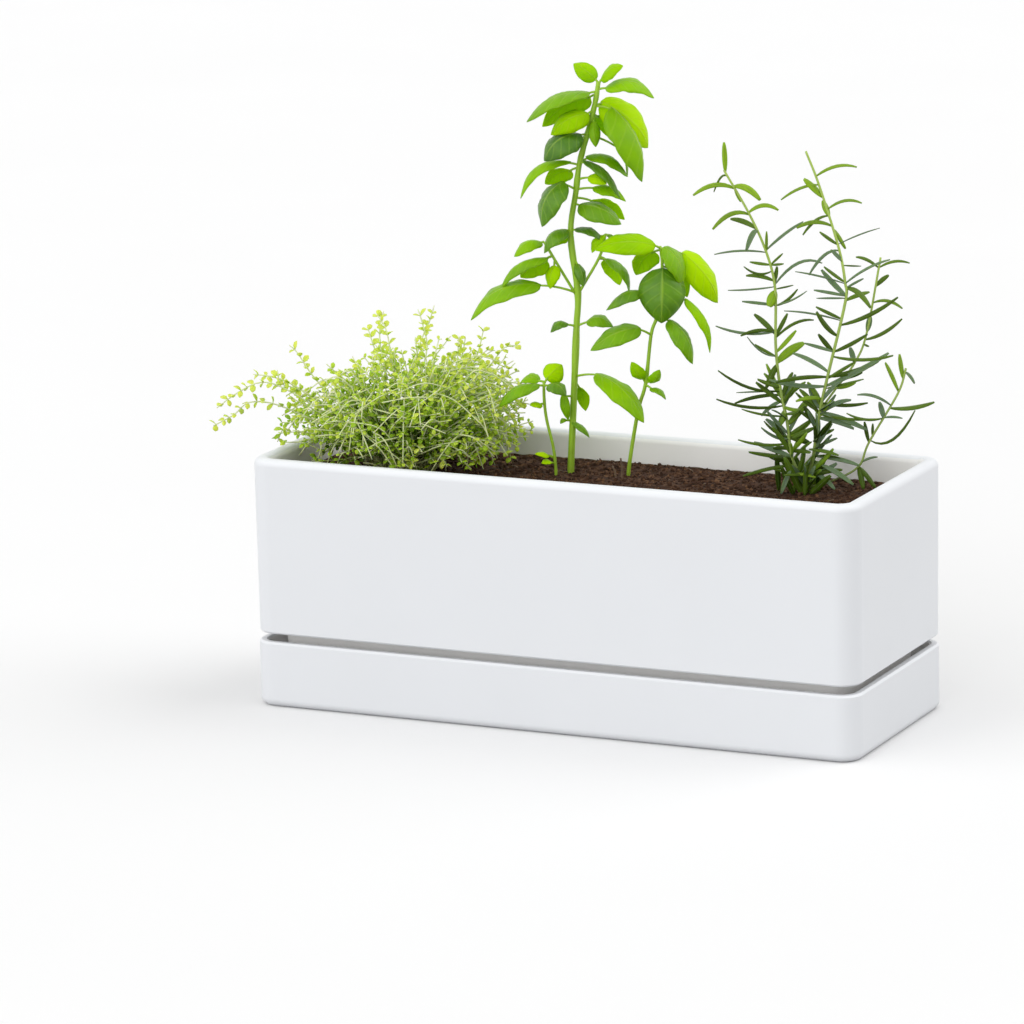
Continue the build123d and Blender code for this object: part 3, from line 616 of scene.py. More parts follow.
def add_basil(leaves_mesh, stems_mesh, foot, stems, leaves, rng):
    """One plant: stems that swell at their nodes, then each leaf on its stalk."""
    for points, thick, thin, nodes_at in stems:
        path = smooth_path([seen(foot, p) for p in points], 5)
        swell = [(at, NODE_SWELL, NODE_SPREAD) for at in nodes_at]
        tube(stems_mesh, path, (thick * 0.52, thin * 0.52), 12, rng.random(), 0.07, swell)
    for node, base, tip, width, arch, face, tint in leaves:
        stalk_start = seen(foot, node)
        stalk_end = seen(foot, base) + (seen(foot, tip) - seen(foot, base)).normalized() * 1.6
        span = (stalk_end - stalk_start).length
        tube(stems_mesh, bent(stalk_start, stalk_end, 0.1 * span, 5), (0.62, 0.5), 6, rng.random())
        add_basil_leaf(leaves_mesh, foot, base, tip, width, arch, face, tint, rng)


# Stems: points, widths at foot and tip, and the nodes as shares of the length.
# Leaves: node on the stem, base and tip of the blade, width, arch, where the upper face looks, and shade
# from deep green to lit yellow-green, which is partly the leaf's own tone and partly painted light: bright
# for leaves lit from behind, dark for leaves in shade
basil_tall_stems = [
    (planted([(2, 36, 0), (4, 72, 0), (5, 90, 0), (2, 119, 0), (5, 140, 0), (7, 154, 0), (11, 168, 0),
              (15, 183, 0), (17, 194, 0)]), 3.2, 2.0, (0.27, 0.4, 0.47, 0.63, 0.73, 0.8, 0.87, 0.93)),
    ([(4, 89, 0), (-7, 108, -2), (-11, 115, -3)], 1.3, 1.2, ()),
    ([(5, 89, 0), (16, 108, 2), (19, 119, 3)], 1.3, 1.2, ()),
]
basil_tall_leaves = [
    ((3, 48, 0), (13, 51, 7), (37, 31, 23), 14, 4, (0.4, 0.8, 0.5), 0.5),
    ((3, 45, 0), (5, 42, -4), (8, 29, -9), 7, 2, (0.3, 0.4, -0.8), 0.85),
    ((4, 73, 0), (0, 75, 2), (-9, 72, 4), 6, 3, (0, 1, 0.4), 0.25),
    ((4, 73, 0), (9, 76, 2), (22, 74, 5), 9, 4, (0, 1, 0.5), 0.4),
    ((4, 90, 0), (-13, 95, 3), (-49, 83, 8), 14, 6, (0, 1, 0.35), 0.45),
    ((-11, 115, -3), (-12, 115, -3), (-26, 109, 1), 9, 4, (-0.2, 1, 0.4), 0.5),
    ((-7, 108, -2), (-9, 108, 1), (-34, 97, 6), 9, 4, (-0.1, 1, 0.15), 0.4),
    ((-7, 108, -2), (-10, 106, -5), (-23, 97, -11), 13, 3, (-0.3, 0.45, -0.85), 1),
    ((-6, 106, -2), (-6, 104, 1), (-9, 93, 4), 8, 2, (-0.5, 0.4, 0.8), 0.8),
    ((4, 106, 0), (5, 105, 3), (8, 94, 6), 6, 2, (0.4, 0.4, 0.8), 0.3),
    ((16, 108, 2), (19, 107, 2), (32, 91, 2), 9, 4, (0.6, 0.8, 0.3), 0.4),
    ((16, 107, 2), (19, 106, -3), (26, 92, -9), 10, 3, (0.4, 0.4, -0.85), 0.95),
    ((19, 119, 3), (18, 119, 4), (12, 111, 7), 6, 2, (-0.4, 0.8, 0.5), 0.6),
    ((19, 119, 3), (20, 119, 1), (26, 112, -3), 7, 2, (0.5, 0.8, 0), 0.35),
    ((2, 121, 0), (0, 122, 2), (-12, 112, 6), 12, 4, (-0.5, 0.9, 0.3), 0.3),
    ((2, 121, 0), (4, 122, 2), (19, 116, 5), 7, 3, (0.3, 0.9, 0.3), 0.2),
    ((2, 120, 0), (0, 119, -3), (-8, 112, -9), 10, 3, (-0.3, 0.4, -0.85), 0.8),
    ((4, 134, 0), (6, 134, 3), (27, 126, 9), 13, 4, (0.2, 0.8, 0.6), 0.35),
    ((5, 141, 0), (13, 142, 0), (30, 137, 1), 9, 3, (0.1, 1, 0.3), 0.5),
    ((5, 137, 0), (12, 135, -4), (29, 126, -8), 10, 3, (0.4, 0.4, -0.8), 0.9),
    ((5, 141, 0), (-1, 146, 3), (-13, 125, 8), 17, 5, (-0.7, 0.5, 0.5), 0.25),
    ((7, 153, 0), (3, 155, 0), (-24, 141, 2), 9, 6, (0, 1, 0.2), 0.5),
    ((7, 152, 0), (3, 150, -4), (-10, 143, -11), 11, 3, (-0.3, 0.4, -0.85), 0.9),
    ((7, 154, 0), (9, 156, 3), (27, 138, 8), 8, 4, (0.6, 0.8, 0.3), 0.25),
    ((7, 154, 0), (10, 157, -2), (31, 147, -4), 11, 5, (0.4, 0.9, 0.2), 0.45),
    ((6, 146, 0), (11, 148, 4), (20, 145, 8), 6, 2, (0.2, 0.5, 0.8), 0.8),
    ((11, 168, 0), (8, 169, 3), (-11, 159, 9), 16, 5, (-0.3, 0.8, 0.6), 0.2),
    ((11, 167, 0), (8, 166, -4), (-5, 157, -11), 12, 3, (-0.3, 0.4, -0.85), 0.9),
    ((11, 168, 0), (24, 163, -4), (31, 146, -7), 8, 3, (0.8, 0.5, 0), 0.45),
    ((15, 182, 0), (23, 182, 3), (40, 147, 9), 20, 5, (0.75, 0.5, 0.4), 0.45),
    ((15, 182, 0), (18, 184, -3), (43, 161, -7), 18, 5, (0.5, 0.35, 0.8), 1),
    ((15, 180, 0), (12, 179, 3), (-7, 171, 8), 12, 4, (-0.2, 0.6, 0.75), 0.65),
    ((14, 178, 0), (16, 177, -4), (22, 165, -11), 9, 3, (0.3, 0.4, -0.85), 0.95),
    ((14, 176, 0), (14, 175, 3), (15, 163, 7), 6, 2, (0, 0.4, 0.9), 0.45),
    ((16, 189, 0), (13, 189, 1), (-19, 177, 4), 14, 5, (-0.2, 1, 0.2), 0.4),
    ((16, 188, 0), (13, 186, -3), (-11, 173, -10), 14, 4, (-0.3, 0.4, -0.85), 0.95),
    ((16, 190, 0), (20, 191, 1), (44, 189, 4), 14, 5, (0.1, 1, 0.3), 0.5),
    ((17, 193, 0), (16, 195, 0), (5, 203, -4), 9, 2, (-0.5, 0.7, 0.5), 0.6),
    ((17, 193, 0), (18, 195, 0), (28, 203, 5), 9, 2, (0.4, 0.8, 0.5), 0.6),
    ((1, 27, 0), (1, 26, 1), (10, 19, 4), 4, 1, (0.2, 0.8, 0.5), 0.35),
    ((2, 38, 0), (-3, 40, 2), (-1, 27, 4), 5, 2, (-0.3, 0.5, 0.8), 0.45),
    ((0, 26, 0), (-2, 27, 1), (-5, 25, 2), 3, 1, (-0.2, 0.8, 0.5), 0.4),
]
basil_side_stems = [
    (planted([(5, 32, 0), (9, 46, 0), (12, 70, 0), (15, 79, 0), (17, 92, 0), (18, 106, 0), (17, 114, 0)]),
     1.8, 1.3, (0.4, 0.62, 0.7, 0.8, 0.92)),
]
basil_side_leaves = [
    ((12, 70, 0), (7, 74, 2), (-18, 65, 8), 12, 4, (-0.1, 0.8, 0.6), 0.4),
    ((15, 79, 0), (21, 78, 2), (33, 57, 7), 12, 4, (0.6, 0.6, 0.5), 0.4),
    ((17, 91, 0), (9, 92, 1), (-10, 84, 4), 9, 4, (-0.1, 0.95, 0.35), 0.3),
    ((17, 90, 0), (29, 88, 0), (43, 62, 2), 9, 4, (0.75, 0.6, 0.3), 0.6),
    ((18, 105, 0), (18, 104, 4), (17, 78, 11), 23, 4, (0, 0.35, 0.95), 0.26),
    ((17, 113, 0), (15, 115, 2), (-15, 116, 7), 13, 3, (0, 0.75, 0.65), 0.6),
    ((17, 113, 0), (19, 114, 1), (29, 95, 3), 14, 4, (0.6, 0.6, 0.5), 0.45),
    ((17, 112, 0), (28, 110, -5), (47, 84, -9), 15, 4, (0.5, 0.35, 0.8), 1),
    ((17, 112, 0), (14, 111, -4), (5, 99, -11), 13, 3, (-0.3, 0.35, -0.9), 0.95),
    ((18, 104, 0), (22, 102, -5), (31, 88, -11), 10, 3, (0.4, 0.35, -0.85), 0.95),
    ((9, 46, 0), (8, 48, 1), (2, 57, 4), 7, 2, (-0.5, 0.4, 0.8), 0.6),
    ((9, 46, 0), (11, 46, 1), (16, 53, 4), 6, 2, (0.5, 0.3, 0.8), 0.55),
    ((9, 45, 0), (11, 44, 3), (19, 40, 7), 5, 2, (0.3, 0.9, 0.3), 0.4),
]
basil_young_stems = [
    (planted([(-1, 14, 0), (-4, 28, 0), (-5, 38, 0), (-5, 47, 0)]), 1.4, 1.3, (0.3, 0.78)),
]
basil_young_leaves = [
    ((-5, 45, 0), (-7, 46, 1), (-28, 37, 4), 9, 4, (-0.1, 0.95, 0.35), 0.4),
    ((-5, 47, 0), (-7, 47, -2), (-17, 46, -7), 8, 3, (-0.1, 0.9, 0.3), 0.5),
    ((-5, 45, 0), (-3, 46, 2), (6, 42, 7), 9, 3, (0.3, 0.8, 0.5), 0.3),
    ((-5, 46, 0), (-4, 48, -1), (4, 55, -3), 11, 2, (0, 0.5, 0.85), 0.75),
    ((-5, 36, 0), (-6, 36, 2), (-12, 37, 5), 5, 1, (-0.1, 0.9, 0.4), 0.7),
    ((-1, 9, 0), (-3, 10, 1), (-10, 12, 3), 4, 1, (0, 0.9, 0.4), 0.9),
    ((-1, 6, 0), (-2, 7, 1), (-7, 7, 3), 4, 1, (0, 0.9, 0.4), 0.8),
]

for name, foot, stems, leaves, seed in (
    ("basil_tall", basil_tall_foot, basil_tall_stems, basil_tall_leaves, 21),
    ("basil_side", basil_side_foot, basil_side_stems, basil_side_leaves, 22),
    ("basil_young", basil_young_foot, basil_young_stems, basil_young_leaves, 23),
):
    leaves_mesh = Mesh()
    stems_mesh = Mesh()
    add_basil(leaves_mesh, stems_mesh, foot, stems, leaves, random.Random(seed))
    leaves_mesh.piece(name + "_leaves", basil_leaf_green, "basil_foliage", name)
    stems_mesh.piece(name + "_stems", basil_stem_green, "basil_foliage")

# Rosemary: narrow leaves with rolled edges, each bowed between its stem and its tip
NEEDLE_ROWS = 9
NEEDLE_COLUMNS = 5
ROSEMARY_STEM = 1.8
ROSEMARY_TWIG = 1.1
FOOT_LEAVES = 64
UPRIGHT_FOOT_LEAVES = 13


def add_needle(mesh, start, end, bow, width, face, tint):
    """One narrow leaf from its stem to its tip, bowed upwards by this much."""
    middle = (start + end) / 2 + UP * (2 * bow)
    points = []
    for row in range(NEEDLE_ROWS):
        share = row / (NEEDLE_ROWS - 1)
        place = start * (1 - share) ** 2 + middle * (2 * share * (1 - share)) + end * share ** 2
        heading = ((middle - start) * (1 - share) + (end - middle) * share).normalized()
        upward = (face - heading * face.dot(heading)).normalized()
        aside = upward.cross(heading)
        spread = math.sin(math.pi * (0.05 + 0.9 * share)) ** 0.5
        for column in range(NEEDLE_COLUMNS):
            side = 2 * column / (NEEDLE_COLUMNS - 1) - 1
            rolled = upward * (0.25 * width * side ** 2 * spread)
            points.append(place + aside * (side * 0.62 * width * spread) - rolled)
    sheet(mesh, points, face, LEAF_THICKNESS, tint, NEEDLE_ROWS, NEEDLE_COLUMNS)


def at_height(path, height):
    """Point of a rising path at this height above the soil."""
    level = SOIL_TOP + height
    for low, high in zip(path, path[1:]):
        if low.z <= level < high.z:
            return low.lerp(high, (level - low.z) / (high.z - low.z))
    return path[-1]


def needle_face(tint, rng):
    """Where the upper side of a leaf looks: up and to the viewer, or away for some dark ones."""
    face = sight_near * rng.uniform(0.6, 1.6) + UP + sight_right * rng.uniform(-0.5, 0.5)
    return -face if tint < 0.4 and rng.random() < 0.5 else face


def add_rosemary(leaves_mesh, stems_mesh, points, thick, leaves, rng):
    """One stem with its leaves. Gives back the path of the stem."""
    path = smooth_path([seen(rosemary_foot, p) for p in points], 8)
    tube(stems_mesh, path, (thick / 2, ROSEMARY_TWIG / 2), 8, rng.random())
    for height, tip, width, bow, tint in leaves:
        add_needle(leaves_mesh, at_height(path, height), seen(rosemary_foot, tip), bow, width,
                   needle_face(tint, rng), tint)
    return path


# Rosemary leaves: height where each leaves its stem, its tip, its width, its bow and its shade, which is
# partly the leaf's own tone and partly painted light and shade
rosemary_left = planted([(-6, 17, -1), (-8, 34, -3), (-11, 50, -6), (-13, 71, -6), (-13, 99, -6),
                         (-17, 117, -5), (-25, 136, -4), (-37, 158, -2)])
rosemary_left_leaves = [
    (157, (-37, 172, 2), 2.1, 0, 0.9), (149, (-52, 146, -3), 2.2, 3.5, 0.8),
    (155, (-42, 147, -5), 1.2, 3.5, 0.4), (150, (-20, 144, 3), 2.8, 2.6, 0.85),
    (149, (-29, 142, -5), 1.4, 0, 0.8), (137, (-11, 138, -3), 2.3, 3.3, 0.85),
    (136, (-43, 130, 1), 2.2, 4.1, 0.7), (129, (-34, 133, -10), 2.2, 1.2, 0.5),
    (128, (-27, 119, 0), 2.2, 2.3, 0.35), (117, (-42, 116, -8), 1.1, 1.2, 0.25),
    (118, (1, 131, -9), 1.3, 0.9, 0.3), (117, (-17, 128, -1), 1.2, 0, 0.7),
    (111, (-25, 112, -9), 1.4, 0, 0.5), (108, (-28, 111, -2), 1.2, -2.3, 0.3),
    (103, (-27, 106, -5), 1.8, 1.2, 0.5), (111, (-9, 116, -8), 1, 0, 0.5), (111, (-9, 112, -2), 1.2, 0, 0.5),
    (101, (10, 110, -12), 1.3, 5.3, 0.3), (102, (-12, 110, -6), 1.7, 0, 0.4),
    (100, (-36, 100, 1), 1, -0.6, 0.25), (99, (-4, 100, -10), 0.9, 0, 0.3), (98, (-16, 91, -3), 4, 0, 0.85),
    (91, (-29, 93, -7), 1.4, 0, 0.35), (91, (-2, 98, -10), 1.4, -1.4, 0.35),
    (91, (2, 99, 1), 0.9, -1.2, 0.3), (77, (-23, 86, -11), 2.3, 0.6, 0.4),
    (78, (-42, 82, -3), 1.3, -2.3, 0.25), (78, (-30, 77, -3), 1.6, 1.8, 0.3),
    (76, (-7, 86, -11), 1.8, 0, 0.4), (75, (5, 85, 2), 1.4, 2.9, 0.35), (68, (-3, 78, -9), 2, 0, 0.85),
    (66, (-23, 72, -7), 1.8, 0, 0.45), (66, (-27, 77, 0), 0.9, -2.9, 0.2), (63, (1, 71, -13), 3.6, 1.2, 0.8),
    (62, (-18, 51, -3), 2.6, 0.9, 0.3), (49, (-41, 60, -4), 1.5, -3.3, 0.2),
    (49, (-32, 47, -13), 0.8, 0, 0.2), (51, (-22, 56, -1), 2.4, 0, 0.45),
    (47, (-33, 42, -12), 1.7, 1.4, 0.2), (42, (-42, 46, -4), 1.6, -2.3, 0.2),
    (37, (-30, 42, 2), 1.2, -0.9, 0.4), (44, (-20, 36, -10), 2, 0.9, 0.2), (40, (-12, 33, -1), 3.2, 0, 0.6),
    (33, (3, 45, -5), 3, 0, 0.6), (44, (-3, 51, -7), 2.4, 0, 0.5), (26, (-21, 33, 4), 1.7, -2.1, 0.2),
    (27, (-19, 34, -7), 1.4, -1.6, 0.2), (24, (-32, 27, 2), 1.4, -1.6, 0.4), (27, (3, 24, 0), 3, 0.7, 0.2),
    (17, (-24, 23, -9), 2.6, 0, 0.2), (17, (-27, 22, 7), 2.4, 0, 0.3), (21, (-15, 21, -4), 1.8, 0.7, 0.2),
]
rosemary_right = [(0, 1, 0), (4, 17, 2), (7, 38, 4), (11, 57, 6), (20, 94, 6), (20, 104, 6), (17, 121, 5),
                  (8, 151, 3), (2, 167, 2)]
rosemary_right_leaves = [
    (155, (26, 160, 8), 1.8, 2.9, 0.75), (145, (1, 154, 3), 3.2, 0.6, 0.85),
    (151, (-10, 143, -3), 1.6, 2.1, 0.7), (139, (28, 143, 11), 1.6, 2.9, 0.7),
    (136, (10, 143, 1), 2.6, 0, 0.8), (136, (0, 127, 5), 1.4, 2.6, 0.5), (131, (-3, 131, 8), 1.9, 2.6, 0.65),
    (130, (21, 119, -1), 3, 1.4, 0.75), (122, (8, 129, 9), 1.5, 0, 0.5), (122, (37, 129, 2), 0.7, 0.6, 0.2),
    (119, (3, 107, 2), 1.4, 3.5, 0.3), (114, (13, 120, 8), 2, 0, 0.3), (112, (28, 111, 3), 0.8, 0, 0.3),
    (104, (10, 112, 8), 1.8, 0, 0.5), (103, (-4, 110, 9), 0.9, 0.6, 0.2), (97, (9, 109, 0), 2.2, -0.6, 0.35),
    (103, (41, 116, 16), 1.6, 1.4, 0.35), (101, (29, 105, 4), 1.2, 0, 0.3), (97, (5, 100, 5), 1.6, 0, 0.3),
    (96, (6, 97, 10), 0.9, 0, 0.2), (95, (32, 98, 1), 2, 0.6, 0.6), (101, (32, 92, 11), 2.6, 2.9, 0.5),
    (86, (6, 92, 5), 1.6, 0, 0.4), (85, (-9, 89, -1), 1, 0.9, 0.2), (78, (6, 91, 13), 2.6, -1.2, 0.3),
    (83, (46, 94, -5), 1.9, -1.8, 0.35), (70, (7, 79, 7), 2.2, 0, 0.25), (70, (0, 75, 9), 1.6, 0, 0.35),
    (70, (31, 77, -1), 1.8, -0.5, 0.3), (68, (42, 70, 17), 2.2, -1.6, 0.4),
    (58, (36, 64, 1), 2.2, -1.2, 0.3), (53, (41, 68, 2), 2.4, -1.2, 0.35), (57, (24, 66, 12), 1.6, 0, 0.4),
    (60, (-5, 68, -2), 2, 0.9, 0.35), (58, (-14, 57, 12), 2.4, 1.2, 0.25),
    (53, (-17, 57, 7), 2.2, -1.4, 0.25), (42, (3, 52, 0), 3.6, 0, 0.25), (52, (28, 58, 14), 1.2, 0, 0.4),
    (45, (31, 43, -2), 1.6, -1.2, 0.25), (40, (30, 31, 5), 2.6, 0.7, 0.3),
    (39, (36, 38, 12), 1.2, -1.2, 0.4), (37, (24, 30, -3), 2.6, 0.9, 0.25), (28, (14, 32, 6), 1.8, 0, 0.4),
    (33, (0, 43, 3), 2.4, 0, 0.2), (22, (16, 26, -1), 1.6, 0, 0.3), (18, (17, 18, 7), 1.2, 0.9, 0.2),
]
rosemary_branch = [(8, 42, 5), (15, 50, 0), (25, 62, -6), (31, 76, -8), (38, 113, -8)]
rosemary_branch_leaves = [
    (108, (26, 114, -5), 1.6, 1.4, 0.5), (108, (52, 110, -8), 1.4, 2.1, 0.5),
    (99, (42, 104, -10), 2, 0.5, 0.4), (91, (48, 89, -2), 1.8, 2.6, 0.6), (77, (33, 84, -11), 2.4, 0, 0.35),
    (73, (48, 83, -7), 1.8, -1.6, 0.4), (71, (32, 70, -6), 1.2, 0, 0.4), (62, (23, 69, -9), 2.2, 0, 0.3),
    (55, (28, 59, 3), 1.6, 0, 0.4), (51, (25, 54, 1), 2.4, 0, 0.7),
]
rosemary_low = [(0, 2, 0), (14, 6, 2), (26, 13, 4), (31, 25, 5), (45, 49, 6), (49, 61, 5)]
rosemary_low_leaves = [
    (50, (39, 65, 10), 2.4, 1.2, 0.75), (56, (46, 68, 5), 2.1, 0, 0.7), (59, (53, 53, 3), 2, 0.5, 0.3),
    (43, (25, 50, 13), 1.4, 1.9, 0.3), (42, (63, 43, -1), 2.3, -1.2, 0.45), (37, (36, 45, 6), 2.2, 0, 0.25),
    (37, (47, 37, 8), 1.1, 0.5, 0.25), (26, (54, 38, -6), 1.3, -7, 0.3), (37, (20, 41, 12), 1.3, -1.8, 0.4),
    (25, (29, 35, 4), 1.8, 0, 0.2), (28, (33, 34, 4), 1.2, 0, 0.3), (15, (35, 18, 7), 1.1, 0.6, 0.2),
    (13, (28, 3, 10), 2.4, 0.7, 0.25), (13, (34, 3, 9), 2.2, 0.7, 0.25),
]

rosemary_leaves = Mesh()
rosemary_stems = Mesh()
rng = random.Random(31)
paths = []
for points, thick, leaves in (
    (rosemary_left, ROSEMARY_STEM, rosemary_left_leaves),
    (rosemary_right, ROSEMARY_STEM, rosemary_right_leaves),
    (rosemary_branch, ROSEMARY_TWIG, rosemary_branch_leaves),
    (rosemary_low, ROSEMARY_TWIG, rosemary_low_leaves),
):
    paths.append(add_rosemary(rosemary_leaves, rosemary_stems, points, thick, leaves, rng))
# Leaves around the foot: a few that show, more along both main stems, then upright ones
for start, end, width, tint in (
    ((-7, 14, 2), (-30, 10, 6), 2, 0.3), ((-7, 12, 6), (-12, 1.5, 10), 2, 0.2),
    ((3, 9, 4), (18, 12, 6), 2.2, 0.3), ((-5, 10, 4), (5, 9, 8), 1.8, 0.7),
    ((6, 9, 4), (14, 3, 10), 2.2, 0.2), ((8, 14, 4), (23, 5, 9), 2.2, 0.3),
    ((6, 18, 3), (26, 14, 7), 2, 0.25), ((2, 22, 4), (16, 20, 10), 1.8, 0.5),
):
    add_needle(rosemary_leaves, seen(rosemary_foot, start), seen(rosemary_foot, end), 0.8, width,
               needle_face(tint, rng), tint)
for number in range(FOOT_LEAVES):
    turn = rng.uniform(0, FULL_TURN)
    start = at_height(paths[number % 2], 3 + 46 * rng.random() ** 1.3)
    way = (Vector((math.cos(turn), math.sin(turn), rng.uniform(0, 1.6))) + sight_near * 0.3).normalized()
    end = start + way * rng.uniform(11, 18)
    # Foot leaves are mostly dark: painted shade low in the plant, with a few lit ones
    tint = 0.75 * rng.random() ** 1.6
    bow = rng.uniform(-1, 1.5)
    width = rng.uniform(1.5, 2.6)
    add_needle(rosemary_leaves, start, end, bow, width, needle_face(tint, rng), tint)
for _ in range(UPRIGHT_FOOT_LEAVES):
    start = rosemary_foot + Vector((rng.gauss(0, 6), rng.gauss(-2, 3), -1))
    way = Vector((rng.gauss(0, 0.45), rng.gauss(0, 0.3), 1)).normalized()
    end = start + way * rng.uniform(13, 23)
    width = rng.uniform(2.0, 2.9)
    add_needle(rosemary_leaves, start, end, 0.0, width, sight_near + UP * 0.3, rng.uniform(0, 0.5))
rosemary_leaves.piece("rosemary_leaves", rosemary_leaf_green, "rosemary_foliage", "rosemary")
rosemary_stems.piece("rosemary_stems", rosemary_stem_green, "rosemary_foliage")

# Thyme: a dense mound of thin arching stems with small paired leaves
THYME_STEMS = 300
THYME_STRANDS = 110
THYME_LEAF_THICKNESS = 0.22
THYME_MIDDLE = 25
THYME_HALF_HEIGHT = 42
THYME_HALF_LENGTH = 62
THYME_HALF_DEPTH = 44
THYME_WALL_GAP = 4.5
GOLDEN_TURN = 2.39996


def add_thyme_leaf(mesh, place, heading, upward, length, width, tint):
    """One small rounded leaf, folded a little along its middle."""
    along = heading.normalized()
    upward = (upward - along * upward.dot(along)).normalized()
    aside = upward.cross(along)
    points = []
    for share, spread in ((0.0, 0.14), (0.34, 0.9), (0.72, 0.92), (1.0, 0.16)):
        for side in (-1, 0, 1):
            lift = 0.12 * width * abs(side) * spread + 0.25 * length * share * (1 - share)
            off = side * 0.5 * width * spread
            points.append(place + along * (share * length) + aside * off + upward * lift)
    sheet(mesh, points, upward, THYME_LEAF_THICKNESS, tint, 4, 3)


def add_thyme_stem(leaves_mesh, stems_mesh, points, first, pitch, sizes, shine, rng):
    """One stem with leaf pairs from this share of its length on. High and outer leaves are brighter and
    inner ones darker, partly painted light and shade of the mound and partly older leaves inside.
    """
    path = smooth_path(points, 4)
    tube(stems_mesh, path, (0.42, 0.28), 4, rng.random())
    lengths = [0.0]
    for a, b in zip(path, path[1:]):
        lengths.append(lengths[-1] + (b - a).length)
    total = lengths[-1]
    run = first * total
    turn = rng.uniform(0, FULL_TURN)
    while run <= total:
        index = max(i for i in range(len(path) - 1) if lengths[i] <= run)
        step = path[index + 1] - path[index]
        place = path[index] + step * min(1.0, (run - lengths[index]) / step.length)
        heading = step.normalized()
        across = heading.cross(UP if abs(heading.z) < 0.95 else sight_right).normalized()
        other = heading.cross(across)
        height = (place.z - SOIL_TOP) / 65
        outer = (place - thyme_foot - UP * 18).length / 62
        for half_turn in (0, math.pi):
            angle = turn + half_turn + rng.uniform(-0.4, 0.4)
            out = across * math.cos(angle) + other * math.sin(angle)
            direction = heading * rng.uniform(0.3, 0.8) + out
            size = rng.uniform(*sizes)
            # Painted light and shade: the tint rises with height and with distance out from the middle of
            # the mound
            tint = min(1.0, max(0.0, shine - 0.15 + 0.55 * height + 0.6 * outer + rng.uniform(-0.2, 0.2)))
            upward = UP + out * 0.2 + sight_near * rng.uniform(0, 0.8)
            width = size * rng.uniform(0.6, 0.85)
            add_thyme_leaf(leaves_mesh, place + out * 0.2, direction, upward, size, width, tint)
        turn += math.pi / 2 + rng.uniform(-0.3, 0.3)
        run += pitch * rng.uniform(0.75, 1.3)


def within_pot(place):
    """The same place, moved inside the basin's walls where it is below the rim."""
    if place.z < POT_TOP + 3:
        half_x, half_y = basin_half(SOIL_TOP)
        place.x = max(THYME_WALL_GAP - half_x, place.x)
        place.y = min(half_y - THYME_WALL_GAP, max(THYME_WALL_GAP - half_y, place.y))
    return place


def on_mound(out, share):
    """Place in the mound in a direction given as right, near and up, at this share of its size."""
    up = max(4.0, THYME_MIDDLE + THYME_HALF_HEIGHT * out.z * share)
    lean = 0.4 * max(0.0, up - 33)
    right = 5 + THYME_HALF_LENGTH * out.x * share + lean
    return within_pot(seen(thyme_foot, (right, up, THYME_HALF_DEPTH * out.y * share)))


def near_side(rng):
    """A direction in which the viewer sees the mound."""
    out = Vector((rng.uniform(-1, 1), rng.uniform(0.1, 1), rng.uniform(-0.4, 0.9)))
    return out.normalized()


thyme_leaves = (Mesh(), Mesh())
thyme_stems = Mesh()
rng = random.Random(41)
for number in range(THYME_STEMS):
    turn = GOLDEN_TURN * number
    level = -0.5 + 1.48 * (number + 0.5) / THYME_STEMS
    flat = math.sqrt(1 - level ** 2)
    out = Vector((math.cos(turn) * flat, math.sin(turn) * flat, level))
    end = on_mound(out, rng.uniform(0.7, 1.03))
    start = thyme_foot + Vector((rng.gauss(4, 9), rng.gauss(0, 8), -1))
    sway = Vector((rng.gauss(0, 5), rng.gauss(0, 5), rng.uniform(3, 13)))
    middle = within_pot(start.lerp(end, 0.55) + sway)
    points = [start, start.lerp(middle, 0.5) + UP * 2, middle, end]
    add_thyme_stem(thyme_leaves[number % 2], thyme_stems, points, 0.3, 4.4, (2.0, 3.6), 0.0, rng)
# Pale strands that arch over the side towards the viewer
for number in range(THYME_STRANDS):
    out = near_side(rng)
    start = on_mound(out, rng.uniform(0.6, 0.8))
    drift = Vector((rng.gauss(0, 0.35), 0, rng.gauss(-0.25, 0.3)))
    end = on_mound((out + drift).normalized(), rng.uniform(0.9, 1.02))
    middle = within_pot(start.lerp(end, 0.5) + UP * rng.uniform(1, 8) + sight_near * rng.uniform(0, 5))
    points = [start, middle, end]
    add_thyme_stem(thyme_leaves[number % 2], thyme_stems, points, 0.5, 8.0, (2.0, 3.4), 0.1, rng)
